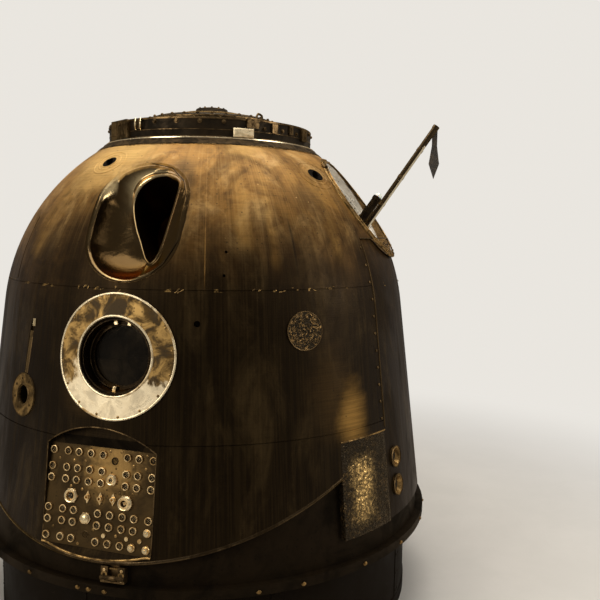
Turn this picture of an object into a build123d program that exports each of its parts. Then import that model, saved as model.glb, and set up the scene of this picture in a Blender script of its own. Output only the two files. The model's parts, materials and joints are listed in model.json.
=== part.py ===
from build123d import *
from math import acos, asin, atan2, cos, degrees, hypot, radians, sin, sqrt, tan
import os

os.makedirs("parts", exist_ok=True)

# A crew return capsule without its heat shield, on a round museum drum.
# Millimetres. Origin on the floor under the drum's centre, +Z up.
# An azimuth of 0 faces -Y, and 90 faces +X. Heights here are above the capsule's base.

# Skin of the capsule: a dome, and the cone that touches it and the base's edge
base_radius = 1090
dome_radius = 971
dome_centre = 910
wall = 60
skin_layer = 30
seat_gap = 0.3

# Drum that the capsule is shown on
drum_inset = 90
drum_height = 400
drum_wall = 18

# Base and the horizontal joints: the upper one is given above the dome's centre
base_ring_height = 36
base_ring_width = 160
bulkhead_thickness = 24
lower_joint = 560
upper_joint_rise = 220
joint_groove_width = 4
joint_groove_depth = 4

# Lower skin: it hangs down as a tongue over the dark base band
tongue_azimuth = -24
tongue_half_angle = 70
tongue_low = 118
tongue_slope = 0.56

# Strip under the large bay, a little lower than the skin beside it
strip_azimuth = 69.5
strip_half_angle = 23.5
strip_drop = 12
strip_low = 130
strip_rise = 420

# Top collar and its hatch
mouth_radius = 300
coaming_thickness = 22
coaming_rise = 25
deck_rise = 11
collar_radius = 490
collar_thickness = 26
collar_flange_width = 16
collar_flange_height = 12
collar_bolt_count = 12
collar_bolt_radius = 6
collar_bolt_depth = 30
deck_thickness = 8
lid_overhang = 8
lid_crown = 46
lid_thickness = 12
hub_radius = 96
hub_rise = 24
hub_taper = 0.8
hinge_spread = 140
lid_pin_radius = 9
lid_pin_reach = 48
lid_pin_rise = 12
knuckle_margin = 7
arm_thickness = 16
arm_rise = 18
post_thickness = 10
post_gap = 3

# Windows, below the upper joint
window_azimuths = (-21.5, 158.5)
window_drop = 250
window_flange_radius = 240
window_flange_proud = 6
window_flange_inset = 12
window_hole_radius = 148
window_barrel_wall = 12
window_barrel_depth = 120
window_retainer_width = 20
window_retainer_height = 10
window_glass_depth = 78
window_glass_thickness = 14

# Connector plate: flat, in an arched recess, leaning back more than the skin
plate_azimuth = -24.4
plate_height = 345
plate_width = 470
plate_length = 380
plate_lean = 4.2
plate_drop = 36
plate_thickness = 8
arch_rise = 78
arch_floor = 6
ledge_run = 36
ledge_rise = 24
socket_radius = 15
socket_bore = 11.5
socket_height = 7
socket_margin_x = 19
socket_margin_y = 28

# Reserve parachute pocket: a long round scoop, and an oval throat that opens into it
pocket_azimuth = -20.5
pocket_elevation = 31
scoop_radius = 194
scoop_lift = 40
scoop_straight = 168
pocket_wall = 10
throat_width = 206
throat_length = 384
throat_side = 50
throat_lean = 10
throat_mouth_depth = 48
throat_mouth_tilt = 17
throat_depth = 330

# Main parachute bay, a round can in the dome
bay_azimuth = 68.5
bay_gap = 76
bay_radius = 268
bay_wall = 8
bay_depth = 330
bay_rim_width = 18
bay_rim_proud = 4

# Folding mast and beacon, on a bridge across the bay
mast_side = 173
mast_up = -97
mast_depth = 141
mast_azimuth = 82
mast_elevation = 56
mast_radius = 15
mast_length = 655
mast_pin_radius = 6
mast_hub_margin = 3
mast_sleeve_margin = 2
mast_sleeve_reach = 8
fork_wall = 6
fork_play = 2
bridge_drop = 36
bridge_thickness = 10
bridge_width = 140
beacon_side = -62
beacon_up = 40
beacon_radius = 21
beacon_length = 246
flag_width = 52
flag_neck = 26
flag_length = 250
flag_thickness = 3
flag_shoulder_part = 0.35
flag_hip_part = 0.7

# Small fittings: heights below the upper joint
plug_azimuth = 21.8
plug_drop = 158
plug_radius = 75
plug_depth = 22
port_radius = 6
port_depth = 30
low_port_drop = 122
nozzle_radius = 44
nozzle_length = 26
slot_depth = 9
slot_hole_radius = 38
nozzle_floor = 4
nozzle_lip = 6
nozzle_taper = 14
latch_turn = 4.9
latch_height = 78
latch_width = 96
latch_length = 60
latch_rise = 28
latch_slot = 40
latch_slot_depth = 18
latch_slot_offset = 6
latch_pin_radius = 9

# How a round skin of this size meets the cone
slant = hypot(base_radius, dome_centre)
cone = acos(dome_radius / slant) - atan2(dome_centre, base_radius)
stand = drum_height
drum_radius = base_radius - drum_inset
upper_joint = dome_centre + upper_joint_rise
window_height = upper_joint - window_drop
plug_height = upper_joint - plug_drop
flange_outer = collar_radius + collar_flange_width
coaming_outer = mouth_radius + coaming_thickness


def skin_radius(height, inset=0):
    # Radius of the surface that lies inset under the skin, at a height above the base
    reach = dome_radius - inset
    if height > dome_centre + reach * sin(cone):
        return sqrt(reach**2 - (height - dome_centre) ** 2)
    return reach * cos(cone) + (dome_centre + reach * sin(cone) - height) * tan(cone)


def dome_height(radius, inset=0):
    # Height of the dome's surface at a distance from the axis
    return dome_centre + sqrt((dome_radius - inset) ** 2 - radius**2)


def skin_edges(inset, low, high):
    # Line and arc of that surface between two heights, in the X, Z plane
    reach = dome_radius - inset
    joint = dome_centre + reach * sin(cone)
    edges = []
    if low < joint:
        top = min(joint, high)
        edges.append(Line((skin_radius(low, inset), low), (skin_radius(top, inset), top)))
    if high > joint:
        start = degrees(asin((max(low, joint) - dome_centre) / reach))
        end = 90 if high >= dome_centre + reach else degrees(asin((high - dome_centre) / reach))
        edges.append(CenterArc((0, dome_centre), reach, start, end - start))
    return edges


def skin_band(outer, inner, low, high, azimuth=0, spread=360):
    # Solid between two insets and two heights, over a spread of azimuth
    edges = skin_edges(outer, low, high) + skin_edges(inner, low, high)
    edges.append(Line((skin_radius(low, inner), low), (skin_radius(low, outer), low)))
    edges.append(Line((skin_radius(high, inner), high), (skin_radius(high, outer), high)))
    face = Rot(0, 0, azimuth - 90) * (Plane.XZ * make_face(edges))
    return revolve(face, Axis.Z, spread)


def under_skin(inset, low):
    # Whole solid under that surface, from a height to the crown of the dome
    crown = dome_centre + (dome_radius - inset)
    edges = skin_edges(inset, low, crown)
    edges.append(Line((0, low), (skin_radius(low, inset), low)))
    edges.append(Line((0, low), (0, crown)))
    return revolve(Plane.XZ * make_face(edges), Axis.Z)


def ring(outer, inner, low, high):
    return Pos(0, 0, low) * extrude(Circle(outer) - Circle(inner), high - low)


def disc(radius, low, high):
    return Pos(0, 0, low) * extrude(Circle(radius), high - low)


def slab(width, length, low, high):
    # Box that is centred in X and Y, between two heights
    return Pos(0, 0, (low + high) / 2) * Box(width, length, high - low)


def outward(azimuth):
    return Vector(sin(radians(azimuth)), -cos(radians(azimuth)), 0)


def sideways(azimuth):
    return Vector(cos(radians(azimuth)), sin(radians(azimuth)), 0)


def lean_back(azimuth, angle):
    # Direction that points outward and up by an angle
    return outward(azimuth) * cos(angle) + Vector(0, 0, sin(angle))


def cone_place(azimuth, height):
    # Plane that touches the cone: X to the right, Y up the skin, Z out
    spot = outward(azimuth) * skin_radius(height) + Vector(0, 0, height)
    return Plane(spot, x_dir=sideways(azimuth), z_dir=lean_back(azimuth, cone))


def dome_place(azimuth, elevation):
    # Plane that touches the dome, the same way round
    normal = lean_back(azimuth, radians(elevation))
    spot = normal * dome_radius + Vector(0, 0, dome_centre)
    return Plane(spot, x_dir=sideways(azimuth), z_dir=normal)


def save(node, shape):
    # Every piece is built above the capsule's base, then lifted onto the drum
    solids = shape.solids()
    part = solids[0] if len(solids) == 1 else Compound(children=list(solids))
    export_step(Pos(0, 0, stand) * part, f"parts/{node}.step")


# Drum: a bottom board, a side and a top board
save("drum_floor", disc(drum_radius, -stand, drum_wall - stand))
save("drum_side", ring(drum_radius, drum_radius - drum_wall, drum_wall - stand, -drum_wall))
save("drum_top", disc(drum_radius, -drum_wall, 0))

# Base ring and the bulkhead that closes the cabin from below
bulkhead_top = base_ring_height + bulkhead_thickness
bulkhead_radius = skin_radius(bulkhead_top, skin_layer + wall)
save("base_ring", ring(base_radius, base_radius - base_ring_width, 0, base_ring_height))
save("base_bulkhead", disc(bulkhead_radius - seat_gap, base_ring_height, bulkhead_top))

# Connector recess: flat floor, arched top that goes up under the skin, ledge at its foot
plate_out = lean_back(plate_azimuth, cone + radians(plate_lean))
plate_spot = outward(plate_azimuth) * skin_radius(plate_height) + Vector(0, 0, plate_height)
plate_place = Plane(plate_spot - plate_out * plate_drop, x_dir=sideways(plate_azimuth), z_dir=plate_out)
half_width = plate_width / 2
half_length = plate_length / 2
recess_reach = 3 * plate_drop
arch_face = make_face(
    [
        ThreePointArc((-half_width, half_length), (0, half_length + arch_rise), (half_width, half_length)),
        Line((half_width, half_length), (half_width, 0)),
        Line((half_width, 0), (-half_width, 0)),
        Line((-half_width, 0), (-half_width, half_length)),
    ]
)
recess = slab(plate_width, plate_length, -plate_thickness, recess_reach)
recess += Pos(0, 0, arch_floor) * extrude(arch_face, recess_reach - arch_floor)
ledge_steps = recess_reach / ledge_rise
ledge_side = Polyline(
    (-half_length, 0),
    (-half_length, recess_reach),
    (-half_length - ledge_run * ledge_steps, recess_reach),
    close=True,
)
recess += Pos(-half_width, 0, 0) * extrude(Plane.YZ * make_face(ledge_side), plate_width)
recess = plate_place * recess

# Tongue edge: everything below this slanted plane is off the lower skin
tongue_out = outward(tongue_azimuth)
tongue_spot = tongue_out * skin_radius(tongue_low) + Vector(0, 0, tongue_low)
tongue_plane = Plane(tongue_spot, z_dir=tongue_out * tongue_slope + Vector(0, 0, 1))
below_tongue = tongue_plane * slab(4 * base_radius, 4 * base_radius, -2 * base_radius, 0)

# Openings through the wall
window_places = [cone_place(azimuth, window_height) for azimuth in window_azimuths]
window_cuts = [place * Cylinder(window_hole_radius, 4 * wall) for place in window_places]
flange_cuts = [place * Cylinder(window_flange_radius, 4 * wall) for place in window_places]

pocket_place = dome_place(pocket_azimuth, pocket_elevation)


def scoop(radius):
    # Round-ended trough that lies along the pocket's long way
    end = scoop_straight / 2
    edges = [
        Line((0, -end - radius), (0, end + radius)),
        CenterArc((0, end), radius, 0, 90),
        Line((radius, end), (radius, -end)),
        CenterArc((0, -end), radius, -90, 90),
    ]
    return Pos(0, 0, scoop_lift) * revolve(make_face(edges), Axis.Y)


pocket_cut = pocket_place * scoop(scoop_radius + pocket_wall + seat_gap)
# The bay keeps its distance from the collar, along the dome
collar_angle = acos(flange_outer / dome_radius)
bay_angle = asin((bay_radius + bay_rim_width) / dome_radius)
bay_elevation = degrees(collar_angle - bay_angle - bay_gap / dome_radius)
bay_place = dome_place(bay_azimuth, bay_elevation)
bay_cut = bay_place * Cylinder(bay_radius + seat_gap, 6 * wall)
plug_place = cone_place(plug_azimuth, plug_height)
plug_cut = plug_place * Cylinder(plug_radius + seat_gap, 2 * plug_depth)

# Lifting sockets: azimuth, elevation, lean of the oval
lift_table = [(-41.4, 48.2, 38), (40.9, 45.3, -38), (-139.1, 45.3, 38), (138.6, 48.2, -38)]
lift_half_width = 17
lift_half_length = 36
lift_depth = 45
lift_places = [dome_place(azimuth, elevation) * Rot(0, 0, lean) for azimuth, elevation, lean in lift_table]
lift_oval = extrude(Ellipse(lift_half_width, lift_half_length), lift_depth, both=True)
lift_cuts = [place * lift_oval for place in lift_places]

# Small blind holes: azimuth and elevation on the dome, and one lower down on the cone
port_table = [(3.5, 22), (2.9, 16.5)]
port_cuts = [dome_place(*row) * Cylinder(port_radius, 2 * port_depth) for row in port_table]
low_port_place = cone_place(-3.1, upper_joint - low_port_drop)
low_port_cut = low_port_place * Cylinder(2 * port_radius, 2 * port_depth)

# Strip of the main bay, set a little lower than the skin
strip_start = strip_azimuth - strip_half_angle
strip_high = dome_centre + strip_rise
strip_cut_low = strip_low - strip_drop
strip_cut = skin_band(-wall, skin_layer, strip_cut_low, strip_high, strip_start, 2 * strip_half_angle)
strip_play = 0.05
strip = skin_band(
    strip_drop,
    skin_layer - seat_gap,
    strip_low,
    strip_high - seat_gap,
    strip_start + strip_play,
    2 * (strip_half_angle - strip_play),
)

# Side slot: a groove that runs down to a round boss. Azimuth, drop below the joint, radius
slot_top_azimuth, slot_top_drop, slot_half_width = (-46.8, 145, 14)
slot_boss_azimuth, slot_boss_drop, slot_boss_radius = (-48.5, 448, 88)
slot_place = cone_place(slot_boss_azimuth, upper_joint - slot_boss_drop)
slot_run = slot_boss_drop - slot_top_drop
slot_drift = radians(slot_top_azimuth - slot_boss_azimuth) * skin_radius(upper_joint - slot_top_drop)
slot_groove = (
    slot_place
    * Rot(0, 0, -degrees(asin(slot_drift / slot_run)))
    * Pos(0, slot_run / 2, 0)
    * Box(2 * slot_half_width, slot_run, 2 * slot_depth)
)
slot_seat = slot_place * Cylinder(slot_boss_radius + seat_gap, 2 * slot_depth)
slot_hole = slot_place * Cylinder(slot_hole_radius, 3 * skin_layer)

# Rough panels beside the strip, mirrored about the tongue
rough_low = 128
rough_high = lower_joint - 42
rough_spread = 16
rough_drop = 4
rough_starts = (strip_start - rough_spread, 2 * tongue_azimuth - strip_start)
rough_panels = []
rough_cuts = []
for start in rough_starts:
    play = (start + strip_play, rough_spread - 2 * strip_play)
    rough_panels.append(skin_band(rough_drop, skin_layer - seat_gap, rough_low, rough_high, *play))
    rough_cuts.append(skin_band(-wall, skin_layer, 0, rough_high + seat_gap, start, rough_spread))
save("rough_panels", Compound(children=rough_panels))

# Thruster nozzles: azimuth, height
nozzle_table = [(51, 380), (51, 256), (-99, 380), (-99, 256)]
nozzle_places = [cone_place(*row) * Pos(0, 0, -skin_layer) for row in nozzle_table]
nozzle_throat = nozzle_radius - nozzle_lip - nozzle_taper
nozzle_cup = Cylinder(nozzle_radius, nozzle_length)
nozzle_cup -= Pos(0, 0, nozzle_floor) * Cone(nozzle_throat, nozzle_radius - nozzle_lip, nozzle_length)
nozzle_seat = nozzle_length / 2 + seat_gap
nozzles = [place * Pos(0, 0, nozzle_seat) * nozzle_cup for place in nozzle_places]
save("thruster_nozzles", Compound(children=nozzles))
nozzle_cuts = [place * Cylinder(nozzle_radius + seat_gap, 4 * skin_layer) for place in nozzle_places]

# Hull in three rings, each as thick as the whole wall, with a groove at each joint
band = skin_band(skin_layer, skin_layer + wall, base_ring_height, lower_joint)
save("base_band", band - recess)


def joint_groove(height):
    half = joint_groove_width / 2
    return skin_band(-joint_groove_depth, joint_groove_depth, height - half, height + half)


low_groove = joint_groove(lower_joint)
high_groove = joint_groove(upper_joint)
lower_skin = skin_band(
    0,
    skin_layer - seat_gap,
    0,
    lower_joint,
    tongue_azimuth - tongue_half_angle,
    2 * tongue_half_angle,
)
save("lower_skin", lower_skin - below_tongue - recess - rough_cuts - low_groove)

middle = skin_band(0, wall, lower_joint, upper_joint)
middle = middle - window_cuts - recess - strip_cut - plug_cut - pocket_cut
middle = middle - slot_groove - slot_seat - slot_hole - low_port_cut - low_groove - high_groove
window_seats = skin_band(-3 * wall, window_flange_inset, lower_joint, upper_joint)
middle = middle - [cut & window_seats for cut in flange_cuts]
save("hull_middle", middle)

dome = under_skin(0, upper_joint) - under_skin(wall, upper_joint - wall)
dome = dome - Cylinder(coaming_outer + seat_gap, 8 * base_radius)
dome = dome - strip_cut - pocket_cut - bay_cut - lift_cuts - port_cuts - high_groove
save("hull_dome", dome)
save("bay_strip", strip - bay_cut - nozzle_cuts)

# Windows: a skin-shaped flange, a barrel, a retaining ring and the glass
flange_band = skin_band(-window_flange_proud, window_flange_inset - seat_gap, lower_joint, upper_joint)
pane_radius = window_hole_radius - window_barrel_wall - seat_gap
barrel = Cylinder(window_hole_radius - seat_gap, window_barrel_depth)
barrel -= Cylinder(window_hole_radius - window_barrel_wall, window_barrel_depth)
retainer = Cylinder(pane_radius, window_retainer_height)
retainer -= Cylinder(pane_radius - window_retainer_width, window_retainer_height)
retainer_level = (window_glass_thickness + window_retainer_height) / 2 + seat_gap - window_glass_depth
flanges = []
barrels = []
retainers = []
panes = []
for place in window_places:
    disc_cut = place * Cylinder(window_flange_radius - seat_gap, 4 * wall)
    flanges.append((flange_band & disc_cut) - place * Cylinder(window_hole_radius, 4 * wall))
    barrels.append(place * Pos(0, 0, -window_flange_inset - window_barrel_depth / 2) * barrel)
    retainers.append(place * Pos(0, 0, retainer_level) * retainer)
    panes.append(place * Pos(0, 0, -window_glass_depth) * Cylinder(pane_radius, window_glass_thickness))
save("window_flanges", Compound(children=flanges))
save("window_barrels", Compound(children=barrels))
save("window_retainers", Compound(children=retainers))
save("window_glass", Compound(children=panes))

# Connector plate with its rings. The outermost columns and rows keep to the plate's edge.
far_column = half_width - socket_margin_x
far_row = half_length - socket_margin_y
hole_columns = (-far_column, -152, -104, -51, 2, 54, 107, 156, far_column)
upper_rows = (far_row, 100, 56)
lower_rows = (-57, -101, -far_row)
sockets = [(x, y) for y in upper_rows for x in hole_columns if x != hole_columns[5]]
sockets += [(x, y) for y in lower_rows for x in hole_columns if x != hole_columns[3]]
blank_table = [(52, 143), (-46, -142)]
blank_radius = 15
plate = slab(plate_width - 2 * seat_gap, plate_length - 2 * seat_gap, seat_gap - plate_thickness, 0)
plate -= [Pos(x, y, 0) * Cylinder(socket_bore, 4 * plate_thickness) for x, y in sockets]
plate -= [Pos(x, y, 0) * Cylinder(blank_radius, plate_thickness) for x, y in blank_table]
save("connector_plate", plate_place * plate)
socket_ring = ring(socket_radius, socket_bore, 0, socket_height)
save("connector_sockets", Compound(children=[plate_place * Pos(x, y, 0) * socket_ring for x, y in sockets]))

# Larger plugs: across, up, body radius, height, inner bore
plug_table = [(-122, -5, 25, 12, 16), (114, -5, 25, 18, 13), (48, 73, 18, 14, 8), (-51, -82, 19, 12, 0)]
nut_margin = 5
nut_height = 4
tip_radius = 9
tip_bore = 5
tip_height = 12
stud_radius = 8
stud_height = 6
plugs = []
for across, up, radius, height, bore in plug_table:
    connector = disc(radius, 0, height) + extrude(RegularPolygon(radius + nut_margin, 6), nut_height)
    if bore:
        connector -= disc(bore, nut_height / 2, height)
        connector += disc(bore / 2, 0, height / 2)
    plugs.append(plate_place * Pos(across, up, 0) * connector)

# Diamond flanges and round studs: across, up
diamond_table = [(-50, -2), (5, -2), (60, 1)]
stud_table = [(34, -135), (132, -133), (187, -134)]
diamond_half_width = 12
diamond_half_length = 24
diamond = make_face(
    Polyline(
        (0, -diamond_half_length),
        (diamond_half_width, 0),
        (0, diamond_half_length),
        (-diamond_half_width, 0),
        close=True,
    )
)
diamond_flange = extrude(diamond, nut_height) + disc(tip_radius, 0, tip_height)
diamond_flange -= disc(tip_bore, nut_height / 2, tip_height)
plugs += [plate_place * Pos(across, up, 0) * diamond_flange for across, up in diamond_table]
plugs += [plate_place * Pos(across, up, 0) * disc(stud_radius, 0, stud_height) for across, up in stud_table]
save("connector_plugs", Compound(children=plugs))

# Latch bracket under the plate's lip: a block with an open slot and a cross pin
latch_place = cone_place(plate_azimuth + latch_turn, latch_height)
latch_top = latch_rise - skin_layer
latch = slab(latch_width, latch_length, -skin_layer, latch_top)
latch_floor = latch_top - latch_slot_depth
latch -= Pos(0, latch_slot_offset, 0) * slab(latch_slot, latch_length, latch_floor, latch_rise)
latch += Pos(0, -2 * latch_slot_offset, latch_top) * Rot(0, 90, 0) * Cylinder(latch_pin_radius, latch_width)
save("latch_bracket", latch_place * latch - under_skin(skin_layer - seat_gap, 0))

# Grille plug and the side slot's boss
plug_proud = 2
save("grille_plug", plug_place * disc(plug_radius, plug_proud - plug_depth + seat_gap, plug_proud))
slot_boss = ring(slot_boss_radius, slot_hole_radius, seat_gap - slot_depth, seat_gap)
save("side_slot_boss", slot_place * slot_boss)

# Reserve pocket: the scoop's lining, and the throat that comes up through it
throat_place = Pos(throat_side, 0, 0) * Rot(0, 0, throat_lean)


def throat_shape(shrink, low, high):
    outline = Ellipse(throat_width / 2 - shrink, throat_length / 2 - shrink)
    return throat_place * Pos(0, 0, low) * extrude(outline, high - low)


dome_under = under_skin(2, 0)
above_mouth = throat_place * Pos(0, 0, -throat_mouth_depth) * Rot(0, -throat_mouth_tilt, 0)
above_mouth = above_mouth * slab(4 * throat_length, 4 * throat_length, 0, throat_length)
lining = scoop(scoop_radius + pocket_wall) - scoop(scoop_radius) - throat_shape(0, -throat_depth, 0)
save("pocket_liner", (pocket_place * lining) & dome_under)
throat_space = throat_shape(pocket_wall, pocket_wall - throat_depth, wall)
throat = throat_shape(seat_gap, -throat_depth, 0) - throat_space
save("pocket_throat", (pocket_place * (throat - above_mouth)) & dome_under)

# Main bay: a can and its rim
can = Cylinder(bay_radius, bay_depth) - Pos(0, 0, bay_wall) * Cylinder(bay_radius - bay_wall, bay_depth)
save("bay_can", (bay_place * Pos(0, 0, -bay_depth / 2) * can) & dome_under)
bay_rim = Cylinder(bay_radius + bay_rim_width, 4 * wall) - Cylinder(bay_radius - bay_wall, 4 * wall)
rim_band = under_skin(-bay_rim_proud, upper_joint) - under_skin(-seat_gap, upper_joint)
save("bay_rim", (bay_place * bay_rim) & rim_band)

# Bridge across the can, square to the mast that it carries
mast_foot = (
    bay_place.origin
    + bay_place.x_dir * mast_side
    + bay_place.y_dir * mast_up
    - bay_place.z_dir * mast_depth
)
mast_dir = lean_back(mast_azimuth, radians(mast_elevation))
mast_place = Plane(mast_foot, x_dir=sideways(mast_azimuth), z_dir=mast_dir)
bridge = slab(4 * bay_radius, bridge_width, -bridge_drop - bridge_thickness, -bridge_drop)
bridge = Pos(0, beacon_up / 2, 0) * bridge
can_inside = bay_place * Cylinder(bay_radius - bay_wall - seat_gap, 2 * (bay_depth - bay_wall - seat_gap))
save("bay_bridge", (mast_place * bridge) & can_inside)

# Fork, pin and mast
mast_hub_radius = mast_radius + mast_hub_margin
fork_gap = 2 * mast_radius + fork_play
ear = Pos(fork_gap / 2 + fork_wall / 2, 0, 0) * slab(
    fork_wall, 2 * mast_hub_radius, seat_gap - bridge_drop, mast_pin_radius + fork_wall
)
ear_pair = ear + mirror(ear, Plane.YZ) - Rot(0, 90, 0) * Cylinder(mast_pin_radius, 4 * fork_gap)
save("mast_bracket", mast_place * ear_pair)
pin_play = 0.1
pin_length = fork_gap + 2 * fork_wall + mast_sleeve_reach
save("mast_pin", mast_place * Rot(0, 90, 0) * Cylinder(mast_pin_radius - pin_play, pin_length))
mast_sleeve = mast_radius + mast_sleeve_margin
sleeve_ends = (mast_length - mast_sleeve_reach, mast_length + mast_sleeve_reach)
mast = disc(mast_radius, 0, mast_length) + disc(mast_sleeve, *sleeve_ends)
mast += Rot(0, 90, 0) * Cylinder(mast_hub_radius, 2 * mast_radius)
mast -= Rot(0, 90, 0) * Cylinder(mast_pin_radius + pin_play, 4 * fork_gap)
save("mast_rod", mast_place * mast)

# Blade that hangs from the sleeve at the mast's tip
flag_top = mast_foot + mast_dir * mast_length
flag_top += sideways(mast_azimuth) * (mast_sleeve + flag_thickness / 2 + seat_gap)
flag_place = Plane(flag_top, x_dir=outward(mast_azimuth), z_dir=-sideways(mast_azimuth))
flag_shoulder = -flag_shoulder_part * flag_length
flag_hip = -flag_hip_part * flag_length
flag_outline = Polyline(
    (-flag_neck / 2, 0),
    (flag_neck / 2, 0),
    (flag_neck / 2, flag_shoulder),
    (flag_width / 2, flag_hip),
    (0, -flag_length),
    (-flag_width / 2, flag_hip),
    (-flag_neck / 2, flag_shoulder),
    close=True,
)
save("mast_flag", flag_place * extrude(make_face(flag_outline), flag_thickness / 2, both=True))

# Beacon beside the mast, with a domed lens
beacon_place = mast_place * Pos(beacon_side, beacon_up, -bridge_drop)
beacon_top = seat_gap + beacon_length
save("beacon_body", beacon_place * disc(beacon_radius, seat_gap, beacon_top))
lens = Sphere(beacon_radius - 2) & slab(4 * beacon_radius, 4 * beacon_radius, 0, beacon_radius)
save("beacon_lens", beacon_place * Pos(0, 0, beacon_top + seat_gap) * lens)

# Collar on the dome, with a flange round its foot
dome_clear = under_skin(-seat_gap, 0)
flange_low = dome_height(flange_outer)
collar_inner = collar_radius - collar_thickness
collar_top = dome_height(coaming_outer) + deck_rise
collar_flange = ring(flange_outer, collar_radius + seat_gap, flange_low, flange_low + collar_flange_height)
save("collar_flange", collar_flange - dome_clear)
bolt_circle = collar_radius - collar_thickness / 2
bolt_turn = 360 / collar_bolt_count
first_bolt = 10
bolt_hole = Pos(bolt_circle, 0, 0) * disc(collar_bolt_radius, collar_top - collar_bolt_depth, collar_top)
collar = ring(collar_radius, collar_inner, flange_low, collar_top) - dome_clear
collar -= [Rot(0, 0, bolt_turn * turn + first_bolt) * bolt_hole for turn in range(collar_bolt_count)]
save("collar_ring", collar)

# Coaming round the mouth, and the deck between it and the collar
coaming_top = collar_top + coaming_rise
save("hatch_coaming", ring(coaming_outer, mouth_radius, dome_height(coaming_outer, wall), coaming_top))
deck = ring(collar_inner - seat_gap, coaming_outer + seat_gap, collar_top - deck_thickness, collar_top)
save("collar_deck", deck - dome_clear)

# Lugs round the collar: azimuth, width, low and high edge above the flange's foot, stand-out
lug_table = [
    (-55, 138, 14, 97, 15),
    (-40, 34, 50, 92, 8),
    (15.8, 92, 14, 52, 13),
    (21, 56, 58, 96, 9),
    (34, 30, 46, 86, 10),
    (46, 26, 50, 90, 10),
    (59, 52, 34, 92, 12),
    (150, 44, 26, 96, 14),
    (-150, 44, 26, 96, 14),
]
lugs = []
for azimuth, width, low, high, reach in lug_table:
    lug = Pos(0, -collar_radius, flange_low) * slab(width, 2 * reach, low, high)
    lugs.append(Rot(0, 0, azimuth) * lug - Cylinder(collar_radius + seat_gap, 8 * base_radius))
save("collar_lugs", Compound(children=lugs))

# Hatch lid: a low dome on the coaming, with a hub in its middle
lid_radius = coaming_outer + lid_overhang
lid_seat = coaming_top + seat_gap
crown_radius = (lid_radius**2 + lid_crown**2) / (2 * lid_crown)
crown_centre = Pos(0, 0, lid_seat + lid_thickness + lid_crown - crown_radius)
crown_top = lid_seat + lid_thickness + lid_crown
lid = crown_centre * Sphere(crown_radius)
lid = lid & slab(4 * lid_radius, 4 * lid_radius, lid_seat + lid_thickness, crown_top)
lid = lid + disc(lid_radius, lid_seat, lid_seat + lid_thickness)
hollow = Pos(0, 0, -lid_thickness) * crown_centre * Sphere(crown_radius)
lid = lid - (hollow & disc(mouth_radius - lid_thickness, lid_seat, crown_top))
save("hatch_lid", lid)
crown_clear = crown_centre * Sphere(crown_radius + seat_gap)
hub = Pos(0, 0, crown_top) * Cone(hub_radius, hub_taper * hub_radius, 2 * hub_rise)
save("hatch_hub", hub - crown_clear)

# Two hinges at the back: an arm on the lid between a pair of posts on the deck, and a pin
lid_pin_y = lid_radius + lid_pin_reach
lid_pin_z = lid_seat + lid_pin_rise
knuckle_radius = lid_pin_radius + knuckle_margin
post_offset = (arm_thickness + post_thickness) / 2 + post_gap
arm_bar = slab(arm_thickness, 2 * lid_pin_reach, lid_seat, lid_seat + arm_rise)
post_bar = slab(post_thickness, 2 * knuckle_radius, collar_top + seat_gap, lid_pin_z)
lid_clear = disc(lid_radius + seat_gap, 0, lid_seat + lid_thickness)
arms = []
brackets = []
pins = []
for side in (-hinge_spread / 2, hinge_spread / 2):
    pin_place = Pos(side, lid_pin_y, lid_pin_z) * Rot(0, 90, 0)
    arm = Pos(side, lid_pin_y - lid_pin_reach, 0) * arm_bar
    arm = arm + pin_place * Cylinder(knuckle_radius, arm_thickness)
    arm = arm - pin_place * Cylinder(lid_pin_radius + pin_play, 2 * arm_thickness)
    arms.append(arm - lid_clear - crown_clear)
    for offset in (-post_offset, post_offset):
        post_place = Pos(offset, 0, 0) * pin_place
        post = Pos(side + offset, lid_pin_y, 0) * post_bar
        post = post + post_place * Cylinder(knuckle_radius, post_thickness)
        brackets.append(post - post_place * Cylinder(lid_pin_radius, 2 * post_thickness))
    pins.append(pin_place * Cylinder(lid_pin_radius - pin_play, 2 * (post_offset + post_thickness)))
save("hatch_arms", Compound(children=arms))
save("hatch_brackets", Compound(children=brackets))
save("hatch_pins", Compound(children=pins))
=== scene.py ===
import json
import math
import random

import bmesh
import bpy
from mathutils import Matrix, Vector, noise


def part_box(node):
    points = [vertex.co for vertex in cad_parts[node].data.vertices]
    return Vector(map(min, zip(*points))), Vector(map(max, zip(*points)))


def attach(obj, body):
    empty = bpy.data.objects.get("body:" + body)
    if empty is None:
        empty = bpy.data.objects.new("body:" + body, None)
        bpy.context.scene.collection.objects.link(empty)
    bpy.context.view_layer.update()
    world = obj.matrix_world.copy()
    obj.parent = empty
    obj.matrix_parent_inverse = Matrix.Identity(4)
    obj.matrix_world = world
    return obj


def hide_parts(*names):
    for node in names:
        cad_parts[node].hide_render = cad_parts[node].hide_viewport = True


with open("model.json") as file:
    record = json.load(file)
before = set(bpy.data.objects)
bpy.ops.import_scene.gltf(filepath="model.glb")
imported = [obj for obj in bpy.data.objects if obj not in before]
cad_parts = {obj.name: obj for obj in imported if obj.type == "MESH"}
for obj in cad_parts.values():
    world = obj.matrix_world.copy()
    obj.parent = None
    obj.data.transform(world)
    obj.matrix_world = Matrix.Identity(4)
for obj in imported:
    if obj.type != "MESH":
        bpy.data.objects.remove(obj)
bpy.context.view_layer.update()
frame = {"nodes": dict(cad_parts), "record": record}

nodes = frame["nodes"]
print("frame loaded,", len(nodes), "nodes")

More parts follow.
